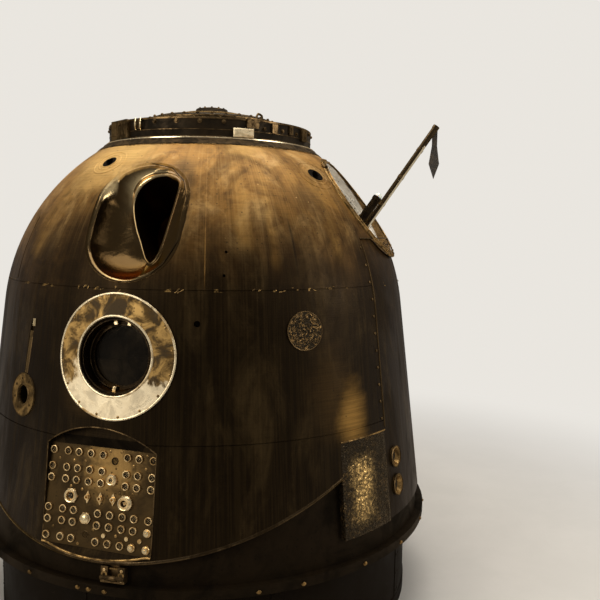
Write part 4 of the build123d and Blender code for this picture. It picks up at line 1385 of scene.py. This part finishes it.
lipChunks = [skinBead(archLine, 0.0026, 0.0022), *(skinBead(line, 0.0022, 0.0016) for line in sideLines)]
addPiece("recessLips", lipChunks, "burnt")
addPiece("recessFootLip", [skinBead(footLine, 0.0042, 0.0034)], "bronze")
print("connector plate done,", len(socketSpots), "sockets")

# Lifting sockets in the crown: a dark dished floor round each hole, in a rolled rim.
# Azimuth, elevation, lean of the oval hole, and the floor's half width and height.
lifting = {
    "sockets": [(-41.4, 48.2, 38, 0.037, 0.034), (40.9, 45.3, -38, 0.044, 0.038),
                (-139.1, 45.3, 38, 0.040, 0.036), (138.6, 48.2, -38, 0.040, 0.036)],
    "hole": (0.0165, 0.033),
    "rise": 0.0006,
    "walls": ((1, 0.0002), (1, -0.004), (1, -0.05), (0.5, -0.052)),
    "rolls": ((1, 0, 0.0030, 0.0022), (1.45, -0.0006, 0.0050, 0.0022), (2.15, -0.0004, 0.0048, 0.0021)),
}


def onDome(place, x, y, rise):
    # Point on the dome over a point of a tangent plane, and the way out there
    out = (place @ Vector((x, y, 0)) - domeCentre).normalized()
    return domeCentre + out * (hull["domeRadius"] + rise), out


floorChunks, rollChunks = [], []
for azimuth, elevation, lean, across, up in lifting["sockets"]:
    place = domePlace(azimuth, elevation)
    leaning = Matrix.Rotation(math.radians(lean), 2)
    turns = turnsOf(64)
    points = []
    for turn in turns:
        ovalTurn = turn - math.radians(lean)
        hole = leaning @ Vector((lifting["hole"][0] * math.cos(ovalTurn),
                                 lifting["hole"][1] * math.sin(ovalTurn)))
        rim = Vector((across * math.cos(turn), up * math.sin(turn)))
        spots = [(rim, lifting["rise"]), (rim * 0.55 + hole * 0.45, 0.0004),
                 *((hole * share, rise) for share, rise in lifting["walls"])]
        points += [onDome(place, *spot, rise)[0] for spot, rise in spots]
    width = len(points) // len(turns)
    floorChunks.append((points, [*gridFaces(len(turns), width), tuple(range(width - 1, len(points), width))]))
    for grow, rise, wide, tall in lifting["rolls"]:
        line = [onDome(place, across * grow * math.cos(turn), up * grow * math.sin(turn), rise)
                for turn in turns]
        rollChunks.append(bead(line, wide, tall, 8, True))
addPiece("liftingFloors", floorChunks, "hollow")
addPiece("liftingRims", rollChunks, "skin")

# Collar: a ragged seal on the dome under the flange, a rail on the flange, bolts, clips and a pale block
collar = {
    "radius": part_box("collar_ring")[1][0],
    "flangeRadius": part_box("collar_flange")[1][0],
    "flangeLow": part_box("collar_flange")[0][2] - hull["stand"],
    "flangeTop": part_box("collar_flange")[1][2] - hull["stand"],
    "top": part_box("collar_ring")[1][2] - hull["stand"],
    "seal": ((0.5062, 0.0078), (0.512, 0.0086), (0.520, 0.0052), (0.534, 0.0046)),
    "sealEdge": 0.5415,
    "sealSteps": 540,
    "toothSteps": 420,
    "toothRadius": 0.5455,
    "rail": ((-0.0005, 0.0002), (0.0012, -0.0012), (0.0012, -0.0045), (-0.0005, -0.0058)),
    "sideBolts": [*((azimuth, 1.818, -0.0002) for azimuth in range(70, 292, 12)
                    if azimuth not in (142, 154, 202, 214)),
                  *((azimuth, 1.818, -0.0002) for azimuth in (-30, -18, -6, 6)), (-54, 1.816, 0.0145),
                  *((azimuth, 1.80, -0.0002) for azimuth in (28, 40, 52))],
    "clips": (-41.6, -38.2),
    "clipLow": 1.787,
    "clipTall": 0.048,
    "paleAzimuth": 15.8,
    "flangeBoltCircle": 0.4985,
    "deckBoltCircle": 0.44,
    "plugCircle": 0.477,
    "plugDrop": 0.012,
    "lugs": ((-55, 0.138, 0.014, 0.097, 0.015), (21, 0.056, 0.058, 0.096, 0.009),
             (34, 0.030, 0.046, 0.086, 0.010), (46, 0.026, 0.050, 0.090, 0.010),
             (59, 0.052, 0.034, 0.092, 0.012)),
}


def domeRing(radius, rise, azimuth):
    height = math.sqrt(hull["domeRadius"] ** 2 - radius**2)
    out = (outward(azimuth) * radius + upward * height).normalized()
    return domeCentre + out * (hull["domeRadius"] + rise)


ragged = random.Random(23)
sealPoints = []
for step in range(collar["sealSteps"]):
    azimuth = 360 * step / collar["sealSteps"]
    waver = 0.0028 * noise.noise(Vector((step * 0.11, 3.0, 0)))
    edge = collar["sealEdge"] + waver + ragged.uniform(-0.0016, 0.0016)
    for radius, rise in (*collar["seal"], (edge, 0.0032), (edge + 0.0014, -0.0004)):
        sealPoints.append(domeRing(radius, rise, azimuth))
sealFaces = gridFaces(collar["sealSteps"], len(sealPoints) // collar["sealSteps"])
addPiece("collarSeal", [(sealPoints, sealFaces)], "seal", angle=50)
toothSpots = []
for step in range(collar["toothSteps"]):
    azimuth = 360 * step / collar["toothSteps"] + ragged.uniform(-0.3, 0.3)
    radius = collar["toothRadius"] + ragged.uniform(-0.003, 0.003)
    if noise.noise(Vector((azimuth * 0.05, 0, 7.0))) > -0.12:
        tilt = math.acos(radius / hull["domeRadius"])
        toothSpots.append(placeAt(domeRing(radius, 0.0008, azimuth), azimuth, tilt))
toothValues = {"Width": 0.0034, "Length": 0.0075, "Thickness": 0.0030, "Seed": 3}
growPiece("sealTeeth", spotMesh(toothSpots), raggedTeeth, toothValues, "bronze")

rail = offset(collar["rail"], collar["flangeRadius"], collar["flangeTop"])
addPiece("flangeRail", [lathe(rail, onBase, 240, True)], "brightEdge")
bands = ((collar["top"] - 0.0097, collar["top"] - 0.0003, 0.0022), (1.7818, 1.7867, 0.0012),
         (collar["flangeTop"] - 0.0008, collar["flangeTop"] + 0.0064, 0.0040))
bandChunks = [hoop(onBase, low, high, collar["radius"] - 0.001, collar["radius"] + reach, 0.0012, 240)
              for low, high, reach in bands]
addPiece("collarBands", bandChunks, "burnt")


def standSpot(azimuth, radius, height, base=hull["stand"]):
    # Upright place round the axis, facing out
    return placeAt(outward(azimuth) * radius + upward * (height + base), azimuth, 0)


def collarSpot(azimuth, height, reach=0.0):
    return standSpot(azimuth, collar["radius"] + reach, height)


def levelRing(radius, height, start, end, step):
    return [onBase @ Matrix.Translation(outward(azimuth) * radius + upward * height)
            for azimuth in range(start, end, step)]


bolts("collarBolts", [collarSpot(*row) for row in collar["sideBolts"]], 0.0070)
bolts("flangeBolts", levelRing(collar["flangeBoltCircle"], collar["flangeTop"], 4, 364, 15), 0.0048, "burnt")
bolts("deckBolts", levelRing(collar["deckBoltCircle"], collar["top"], 5, 365, 15), 0.0075)
plugRing = levelRing(collar["plugCircle"], collar["top"] - collar["plugDrop"], 10, 370, 30)
screws("collarPlugs", plugRing, 0.0058, 12, "bronze")

# Two curved clips by the left lug, the pale block on the front lug, pads on the others
clipChunks = []
for azimuth in collar["clips"]:
    line = []
    for share in shares(12):
        bow = math.sin(math.pi * share)
        height = collar["clipLow"] + collar["clipTall"] * share
        place = collarSpot(azimuth + 1.1 * bow, height, 0.0125 * bow + 0.0095)
        line.append((place.translation, outward(azimuth)))
    clipChunks.append(bead(line, 0.0042, 0.0024))
addPiece("collarClips", clipChunks, "bright")
flatTurn = math.radians(-90)
paleFront = collarSpot(collar["paleAzimuth"], 1.7720, 0.0118)
paleTop = spun(collarSpot(collar["paleAzimuth"], 1.7905, 0.0055), flatTurn, "X")
blockChunks = [block(paleFront, (0.0915, 0.0365, 0.0035), 0.0012),
               block(paleTop, (0.0915, 0.0130, 0.0025), 0.0008)]
addPiece("collarPaleBlock", blockChunks, "cream")
padChunks = []
for azimuth, width, low, high, reach in collar["lugs"]:
    place = collarSpot(azimuth, collar["flangeLow"] + (low + high) / 2, reach - 0.0006)
    padChunks += [block(shifted(place, width * share, 0), (width * 0.28, (high - low) * 0.62, 0.0028), 0.001)
                  for share in ((-0.3, 0.3) if width > 0.05 else (0.0,))]
addPiece("lugPads", padChunks, "burnt")
print("collar done,", len(toothSpots), "teeth")

# Hatch: rim bolts, ribs over the crown, a wheel on the hub, handles. All ride with it.
lid = {
    "radius": (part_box("hatch_lid")[1][0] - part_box("hatch_lid")[0][0]) / 2,
    "rimTop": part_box("hatch_lid")[0][2] + 0.012,
    "crownTop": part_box("hatch_lid")[1][2],
    "hubTop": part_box("hatch_hub")[1][2],
    "edge": ((-0.001, -0.005), (0.0022, -0.003), (0.0022, 0.002), (-0.001, 0.0045)),
    "rings": ((0.288, 0.0034), (0.205, 0.0030), (0.110, 0.0045)),
    "wheelRim": [(0.074, -0.004), (0.0735, 0.0012), (0.067, 0.0025), (0.060, 0.0022), (0.058, -0.0004),
                 (0.058, -0.004)],
    "spokeTurn": 0.4,
    "spokeSpot": (0.041, 0, -0.001),
    "spokeSize": (0.042, 0.010, 0.0048),
    "wheelHub": [(0, 0.0055), (0.020, 0.0055), (0.0235, 0.0030), (0.0235, -0.001), (0, -0.001)],
    "boltCircle": 0.306,
    "ribStart": 0.112,
    "ribStep": 0.014,
    "handles": (70, 250),
    "handleCircle": 0.25,
    "handleSpan": 13,
    "handleRise": 0.024,
}
lidCrown = lid["crownTop"] - lid["rimTop"]
crownRadius = (lid["radius"] ** 2 + lidCrown**2) / (2 * lidCrown)


def crownPlace(azimuth, radius, rise=0.0):
    height = lid["crownTop"] - crownRadius + math.sqrt(crownRadius**2 - radius**2)
    spot = outward(azimuth) * radius + upward * (height + rise)
    return placeAt(spot, azimuth, math.pi / 2 - math.asin(radius / crownRadius))


boltPlaces = [crownPlace(azimuth, lid["boltCircle"], -0.0004) for azimuth in range(0, 360, 12)]
bolts("lidBolts", boltPlaces, 0.0068, body="hatch")
lidChunks = []
for azimuth in range(0, 360, 45):
    line = [crownPlace(azimuth + 22.5, lid["ribStart"] + lid["ribStep"] * step) for step in range(13)]
    lidChunks.append(bead(line, 0.0055, 0.0045))
for radius, size in lid["rings"]:
    lidChunks.append(bead([crownPlace(azimuth, radius) for azimuth in range(0, 360, 3)], size, size, 8, True))
lidEdge = offset(lid["edge"], lid["radius"], lid["rimTop"] - 0.006)
lidChunks.append(lathe(lidEdge, Matrix(), 180, True))
addPiece("lidRibs", lidChunks, "burnt", "hatch")

hubPlace = Matrix.Translation((0, 0, lid["hubTop"]))
hubChunks = [lathe(lid["wheelRim"], hubPlace, 96, True), lathe(lid["wheelHub"], hubPlace, 48)]
for turn in turnsOf(3):
    spoke = shifted(spun(hubPlace, turn + lid["spokeTurn"]), *lid["spokeSpot"])
    hubChunks.append(block(spoke, lid["spokeSize"], 0.0015))
addPiece("hubWheel", hubChunks, "bronze", "hatch")
bolts("hubBolts", spotRing(hubPlace, 0.066, 12, 0.0022), 0.0042, body="hatch")
handleChunks = []
for azimuth in lid["handles"]:
    line = []
    for share in shares(16):
        arch = lid["handleRise"] * min(1.0, math.sin(math.pi * share) * 1.6)
        turn = azimuth - lid["handleSpan"] + 2 * lid["handleSpan"] * share
        line.append((crownPlace(turn, lid["handleCircle"], arch - 0.002).translation, outward(azimuth)))
    handleChunks.append(bead(line, 0.0055, 0.0055, 10))
    for side in (-lid["handleSpan"], lid["handleSpan"]):
        foot = crownPlace(azimuth + side, lid["handleCircle"], -0.001)
        handleChunks.append(block(foot, (0.024, 0.024, 0.005), 0.0015))
addPiece("lidHandles", handleChunks, "rod", "hatch")
print("hatch done")


# Crinkled sheets over the rough panels, and the crinkled face of the plug
def crinkle(name, spots, wide, finish, height, scale, stretch, seed):
    # A grid of spots, closed underneath. Its edge stays still.
    count = len(spots)
    tall = count // wide
    mesh = bpy.data.meshes.new(name)
    vertices = [place @ Vector((0, 0, depth)) for depth in (0, -0.004) for place in spots]
    faces = []
    for row in range(tall - 1):
        for here in range(row * wide, row * wide + wide - 1):
            under = here + count
            faces += [(here, here + 1, here + wide + 1, here + wide),
                      (under + wide, under + wide + 1, under + 1, under)]
    edge = [*range(wide), *range(2 * wide - 1, count, wide), *range(count - 2, count - wide - 1, -1),
            *range(count - 2 * wide, 0, -wide)]
    faces += [(after, here, here + count, after + count) for here, after in zip(edge, edge[1:] + edge[:1])]
    mesh.from_pydata(vertices, [], faces)
    keep = mesh.attributes.new("keep", "FLOAT", "POINT")
    for index in range(count):
        row, column = divmod(index, wide)
        keep.data[index].value = min(min(row, tall - 1 - row, column, wide - 1 - column) / 3, 1)
    values = {"Height": height, "Scale": scale, "Stretch": stretch, "Seed": seed}
    growPiece(name, mesh, crumpledSheet, values, finish, angle=70)


rough = {"starts": (30.15, -93.85), "turn": 15.7, "low": 0.1295, "tall": 0.387, "top": 0.5185,
         "sink": 0.0036, "columns": 72, "rows": 100, "folds": (0.0034, 24.0, 0.55)}
topChunks = []
for name, start, seed in zip(("crinkledPanelRight", "crinkledPanelLeft"), rough["starts"], (2, 6)):
    end = start + rough["turn"]
    levels = [rough["low"] + rough["tall"] * share for share in shares(rough["rows"])]
    spots = [place for level in levels
             for place in skinWay((start, level), (end, level), rough["columns"], rough["sink"])]
    crinkle(name, spots, rough["columns"] + 1, "foil", *rough["folds"], seed)
    topChunks.append(bead(skinWay((start, rough["top"]), (end, rough["top"]), 24, 0.0002), 0.0034, 0.0030))
addPiece("crinkledTops", topChunks, "bronze")
plugFace = {"azimuth": 21.8, "height": 0.972, "radius": 0.0738, "rise": 0.0024, "halfCount": 24,
            "folds": (0.0030, 62.0, 1.0), "rim": (0.0752, 72, 0.0012), "rimSize": 0.0022}
plugPlace = skinPlace(plugFace["azimuth"], plugFace["height"])
plugSteps = range(-plugFace["halfCount"], plugFace["halfCount"] + 1)
plugSpots = []
for y in plugSteps:
    for x in plugSteps:
        # A square grid drawn in to a disc
        size = max(abs(x), abs(y)) / max(math.hypot(x, y), 1e-6) * plugFace["radius"] / plugFace["halfCount"]
        plugSpots.append(shifted(plugPlace, x * size, y * size, plugFace["rise"]))
crinkle("crinkledPlugFace", plugSpots, len(plugSteps), "grille", *plugFace["folds"], 4)
rimLine = spotRing(plugPlace, *plugFace["rim"])
rimChunk = bead(rimLine, plugFace["rimSize"], plugFace["rimSize"], 8, True)
addPiece("plugRim", [rimChunk], "burnt")
print("crinkled sheets done")


# Main bay: beads and bolts on its rim, ribs and rivets inside
def bayRimSpot(turn, radius, rise):
    spot = bayPlace @ circleSpot(radius, turn, domeDrop(radius, rise))
    return facing(spot, (spot - domeCentre).normalized())


bayBeads = ((bay["rim"] - 0.002, 0.0034, 0.0026), (bay["radius"] - 0.0055, 0.0032, 0.0030))
bayChunks = [bead([bayRimSpot(turn, radius, 0.004) for turn in turnsOf(160)], across, up, 8, True)
             for radius, across, up in bayBeads]
addPiece("bayRimBeads", bayChunks, "bronze")
rimSpots = [bayRimSpot(turn, bay["rimBoltCircle"], 0.0038) for turn in turnsOf(30, 0.5)]
bolts("bayRimBolts", rimSpots, 0.0046, "bronze")
inside = bay["radius"] - bay["wall"]
floorLevel = bay["wall"] - bay["depth"]


def insideSpot(turn, reach, level):
    # Place on the bay's wall, facing its middle
    return spun(shifted(spun(bayPlace, turn), inside + reach, 0, level), flatTurn, "Y")


insideChunks = [hoop(bayPlace, depth - bay["ribHalf"], depth + bay["ribHalf"], inside + 0.001,
                     inside - 0.004, 0.002, 96) for depth in bay["ribLevels"]]
insideChunks += [block(insideSpot(turn, 0.0005, -0.175), (0.22, 0.014, 0.0045), 0.0015)
                 for turn in turnsOf(10, 0.5)]
insideChunks.append(lathe(offset(bay["floorBoss"], 0, floorLevel), bayPlace, 48))
addPiece("bayRibs", insideChunks, "pale")
rivetSpots = [insideSpot(turn, -0.004, depth) for depth in bay["ribLevels"] for turn in turnsOf(40)]
screws("bayRivets", rivetSpots, 0.0030, 15, "burnt")
floorSpots = spotRing(bayPlace, bay["floorBoltCircle"], 16, floorLevel)
bolts("bayFloorBolts", floorSpots, 0.0065, "burnt")
fittingPlace = bayRimSpot(bay["fittingTurn"], 0.283, 0.0035)
addPiece("bayFitting", [block(fittingPlace, (0.03, 0.022, 0.011), 0.003)], "burnt")
print("bay done")

# Mast and beacon. The mast's own pieces ride with it.
mast = {
    "foot": (0.73461, -0.103432, 1.731768), "azimuth": 82, "elevation": math.radians(56),
    "collars": ((0.045, 0.0172), (0.20, 0.0165), (0.36, 0.0165), (0.52, 0.0165)),
    "tip": [(0, 0.6655), (0.009, 0.6650), (0.0125, 0.6625), (0.0165, 0.6625), (0.0165, 0.660), (0, 0.660)],
    "edge": 0.0012,
    "collarHalf": 0.009,
    "collarBore": 0.0148,
    "stripTurn": math.radians(128),
    "stripSpot": (0, 0.0143, 0.285),
    "stripSize": (0.0115, 0.53, 0.0022),
    "beacon": (-0.062, 0.040, -0.036),
    "beaconBore": 0.0208,
    "ribSpot": (0, 0.0206, 0.12),
    "ribSize": (0.0035, 0.115, 0.0018),
    "beaconRings": ((0.004, 0.020, 0.0245), (0.085, 0.091, 0.0222), (0.150, 0.156, 0.0222),
                    (0.226, 0.2445, 0.0232)),
}
mastPlace = placeAt(mast["foot"], mast["azimuth"], mast["elevation"])
beaconPlace = shifted(mastPlace, *mast["beacon"])
mastChunks = [hoop(mastPlace, level - mast["collarHalf"], level + mast["collarHalf"], mast["collarBore"],
                   reach, mast["edge"], 36) for level, reach in mast["collars"]]
mastChunks.append(lathe(mast["tip"], mastPlace, 32))
addPiece("mastCollars", mastChunks, "burnt", "mast")
# A bright strip down one side of the rod: a painted highlight
edgePlace = spun(shifted(spun(mastPlace, mast["stripTurn"]), *mast["stripSpot"]), flatTurn, "X")
addPiece("mastHighlightStrip", [block(edgePlace, mast["stripSize"], 0.0009)], "brightEdge", "mast")
beaconChunks = [hoop(beaconPlace, low, high, mast["beaconBore"], outer, mast["edge"], 36)
                for low, high, outer in mast["beaconRings"]]
for turn in turnsOf(6):
    place = spun(shifted(spun(beaconPlace, turn), *mast["ribSpot"]), flatTurn, "X")
    beaconChunks.append(block(place, mast["ribSize"], 0.0006))
addPiece("beaconRings", beaconChunks, "barrel")
footBolts = [shifted(mastPlace, x, y, -0.0358) for x in (-0.035, 0.035) for y in (-0.03, 0.05)]
bolts("bridgeBolts", footBolts + spotRing(beaconPlace, 0.033, 4, 0.0002, 0.3), 0.005)
print("mast and beacon done")

# Strip under the bay: a bright bead down its edges, with screws
strip = {
    "edges": (((46, 1.318), (46, 0.53)), ((93, 1.318), (93, 0.53)), ((46, 1.3295), (93, 1.3295))),
    "screwAzimuths": (44.9, 94.1),
    "screwTop": 1.29,
    "screwStep": 0.072,
    "screwRows": 11,
}
stripChunks = [bead(skinWay(start, end, 60, -0.0004), 0.0034, 0.0025) for start, end in strip["edges"]]
addPiece("stripBeads", stripChunks, "plate")
stripScrews = [skinPlace(azimuth, strip["screwTop"] - strip["screwStep"] * step, -0.0006)
               for step in range(strip["screwRows"]) for azimuth in strip["screwAzimuths"]]
screws("stripScrews", stripScrews, 0.0062, 21)

# Lip along the tongue's slanting edge, between the crinkled panels
tongueRadius = skinRadius(hull["tongueLow"])
tongueRounds = 20
tongueLine = []
for turn in range(-hull["tongueHalf"], hull["tongueHalf"] + 1):
    level = hull["tongueLow"]
    for again in range(tongueRounds):
        along = tongueRadius - skinRadius(level) * math.cos(math.radians(turn))
        level = hull["tongueLow"] + hull["tongueSlope"] * along
    tongueLine.append(skinPlace(hull["tongueAzimuth"] + turn, level + 0.002, 0.0003))
addPiece("tongueLip", [bead(tongueLine, 0.0065, 0.0026)], "rod")

# Base ring and drum: bolts along the flange, trim rings, cover strips and screws on the drum
base = {
    "bolts": (-40, -27, -24.5, -21, 9.5, 19, 35, 49, *range(64, 316, 12)),
    "radius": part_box("drum_side")[1][0],
    "rings": [[(-0.001, 0.370), (0.003, 0.372), (0.003, 0.390), (-0.001, 0.392)],
              [(-0.001, 0.001), (0.004, 0.001), (0.004, 0.058), (-0.001, 0.062)]],
    "covers": range(15, 375, 45),
    "coverHeight": 0.215,
    "coverSize": (0.05, 0.31, 0.0032),
    "screwLevels": (0.085, 0.17, 0.26, 0.345),
}
bolts("baseBolts", [skinPlace(azimuth, 0.016, -0.0004) for azimuth in base["bolts"]], 0.0072, "bronze")
drumChunks = [lathe(offset(ring, base["radius"]), Matrix(), 240, True) for ring in base["rings"]]
for azimuth in base["covers"]:
    coverPlace = standSpot(azimuth, base["radius"] - 0.0006, base["coverHeight"], 0)
    drumChunks.append(block(coverPlace, base["coverSize"], 0.001))
drumScrews = [standSpot(azimuth + side, base["radius"] + 0.0024, level, 0)
              for azimuth in base["covers"] for level in base["screwLevels"] for side in (-0.8, 0.8)]
addPiece("drumTrim", drumChunks, "board")
screws("drumScrews", drumScrews, 0.0045, 31, "soot")

# Nozzles: lips round their mouths and dark throats
nozzle = {
    "azimuths": (51, -99),
    "heights": (0.380, 0.256),
    "lip": [(0.0438, -0.010), (0.0465, -0.008), (0.0470, -0.0035), (0.0438, -0.0015)],
    "throat": [(0.0238, -0.0205), (0.0165, -0.0198), (0.012, -0.0222), (0, -0.0224)],
}
nozzleLips, nozzleThroats = [], []
for azimuth in nozzle["azimuths"]:
    for height in nozzle["heights"]:
        place = skinPlace(azimuth, height)
        nozzleLips.append(lathe(nozzle["lip"], place, 48, True))
        nozzleThroats.append(lathe(nozzle["throat"], place, 40))
addPiece("nozzleLips", nozzleLips, "burnt")
addPiece("nozzleThroats", nozzleThroats, "insert")

# Latch: screws in its cheeks, washers and a stub across the slot
latch = {
    "azimuth": -19.5,
    "height": 0.078,
    "proud": 0.028,
    "screws": (0.035, 0.017),
    "washerReach": 0.034,
    "washer": [(0.0062, -0.001), (0.0062, 0.0016), (0.0118, 0.0016), (0.0122, 0.0008), (0.0122, -0.001)],
    "stubSpot": (0, 0.02, -0.013),
    "stubSize": (0.040, 0.006, 0.006),
}
latchPlace = skinPlace(latch["azimuth"], latch["height"], hull["bandInset"] - latch["proud"])
screwX, screwY = latch["screws"]
latchSpots = [shifted(latchPlace, x, y, -0.0003) for x in (-screwX, screwX) for y in (-screwY, screwY)]
screws("latchScrews", latchSpots, 0.0058, 43, "contact")
latchChunks = [lathe(latch["washer"], shifted(latchPlace, x, 0), 32, True)
               for x in (latch["washerReach"], -latch["washerReach"])]
latchChunks.append(block(shifted(latchPlace, *latch["stubSpot"]), latch["stubSize"], 0.001))
addPiece("latchTrim", latchChunks, "bronze")

# Side slot: a bright tab at its top, beads round the boss, its stem, and screws in the boss
slot = {
    "azimuth": -48.5,
    "height": 0.682,
    "tabSize": (0.017, 0.03, 0.004),
    "stem": ((-48, 0.772), (-47.05, 0.942)),
    "screwCircle": 0.066,
    "inner": [(0.0375, -0.0035), (0.0405, 0.0022), (0.0440, 0.0024), (0.0462, 0.0002), (0.0462, -0.0035)],
    "outer": [(0.0835, -0.0025), (0.0845, 0.0012), (0.0875, 0.0014), (0.0882, -0.0025)],
}
slotPlace = skinPlace(slot["azimuth"], slot["height"])
tabPlace = skinPlace(-46.2, 0.977, 0.0005)
addPiece("slotTab", [block(tabPlace, slot["tabSize"], 0.001)], "bright")
stem = skinWay(*slot["stem"], 12, 0.0008)
slotChunks = [lathe(slot["inner"], slotPlace, 60, True), lathe(slot["outer"], slotPlace, 80, True),
              bead(stem, 0.0115, 0.0026, 10)]
addPiece("slotBeads", slotChunks, "burnt")
screws("slotScrews", spotRing(slotPlace, slot["screwCircle"], 8, -0.0002, 0.3), 0.0052, 41)
print("skin fittings done")

# Camera where the photograph was taken from
view = {"eye": (0, -3.535, 1.359 + hull["stand"]), "yaw": 0.128, "pitch": -0.1, "roll": 0.016,
        "focalPixels": 693.05, "photoPixels": 600, "sensor": 36}
cameraData = bpy.data.cameras.new("viewCamera")
cameraData.sensor_width = view["sensor"]
cameraData.sensor_fit = "HORIZONTAL"
cameraData.lens = view["focalPixels"] * view["sensor"] / view["photoPixels"]
camera = addObject("viewCamera", cameraData)
level = spun(Matrix.Translation(view["eye"]), -view["yaw"])
camera.matrix_world = spun(spun(level, math.pi / 2 + view["pitch"], "X"), view["roll"])
bpy.context.scene.camera = camera

# Studio: further off the floor turns into the backdrop, for the camera and in reflections
studio = {
    "floorHalf": 20,
    "backdrop": (0.82, 0.79, 0.74),
    "fade": (1.3, 4.6),
    "floorTints": ((0.72, 0.69, 0.65), (0.67, 0.645, 0.605)),
    "lamps": [("overhead", (0.1, 0.1, 5.2), 4.0, 215, (1, 0.95, 0.87)),
              ("sideLeft", (-3.8, -3.4, 2.9), 2.4, 95, (1, 0.94, 0.84)),
              ("sideRight", (4.2, -2.4, 2.9), 2.4, 95, (1, 0.95, 0.88))],
    "aim": (0, 0, 1.2),
}
black = (0.0, 0.0, 0.0)
floorMesh = bpy.data.meshes.new("floorMesh")
corners = [(x * studio["floorHalf"], y * studio["floorHalf"], 0)
           for x, y in ((-1, -1), (1, -1), (1, 1), (-1, 1))]
floorMesh.from_pydata(corners, [], [(0, 1, 2, 3)])
floor = addObject("floor", floorMesh)
floorMaterial, coords = newMaterial("floorPale")
far = mapRange(measure(coords, (0, 0, 0), "LENGTH"), *studio["fade"])
near = mixColour(clouds(coords, 1.5, 0.3, 0.7), *studio["floorTints"])
seen, glossy = rays(coords.tree)
glow = mixColour(far * calc("MAXIMUM", seen, glossy * 0.5), black, studio["backdrop"])
dress(floorMaterial, mixColour(far, near, black), 0.6, gloss=0.0,
      **{"Emission Color": glow, "Emission Strength": 1.0})
floorMesh.materials.append(floorMaterial)
for name, spot, size, power, colour in studio["lamps"]:
    data = bpy.data.lights.new(name, "AREA")
    data.size = size
    data.energy = power
    data.color = colour
    lamp = addObject(name, data)
    lamp.location = spot
    lamp.rotation_euler = (Vector(studio["aim"]) - Vector(spot)).to_track_quat("-Z", "Y").to_euler()
world = bpy.data.worlds.new("studioWorld")
world.use_nodes = True
background = world.node_tree.nodes["Background"]
seen, glossy = rays(world.node_tree)
background.inputs["Color"].default_value = (*studio["backdrop"], 1)
plug(background.inputs["Strength"], calc("MAXIMUM", seen, between(glossy, 0.16, 0.4)))
bpy.context.scene.world = world
bpy.context.scene.view_settings.view_transform = "Standard"
print("studio lit")
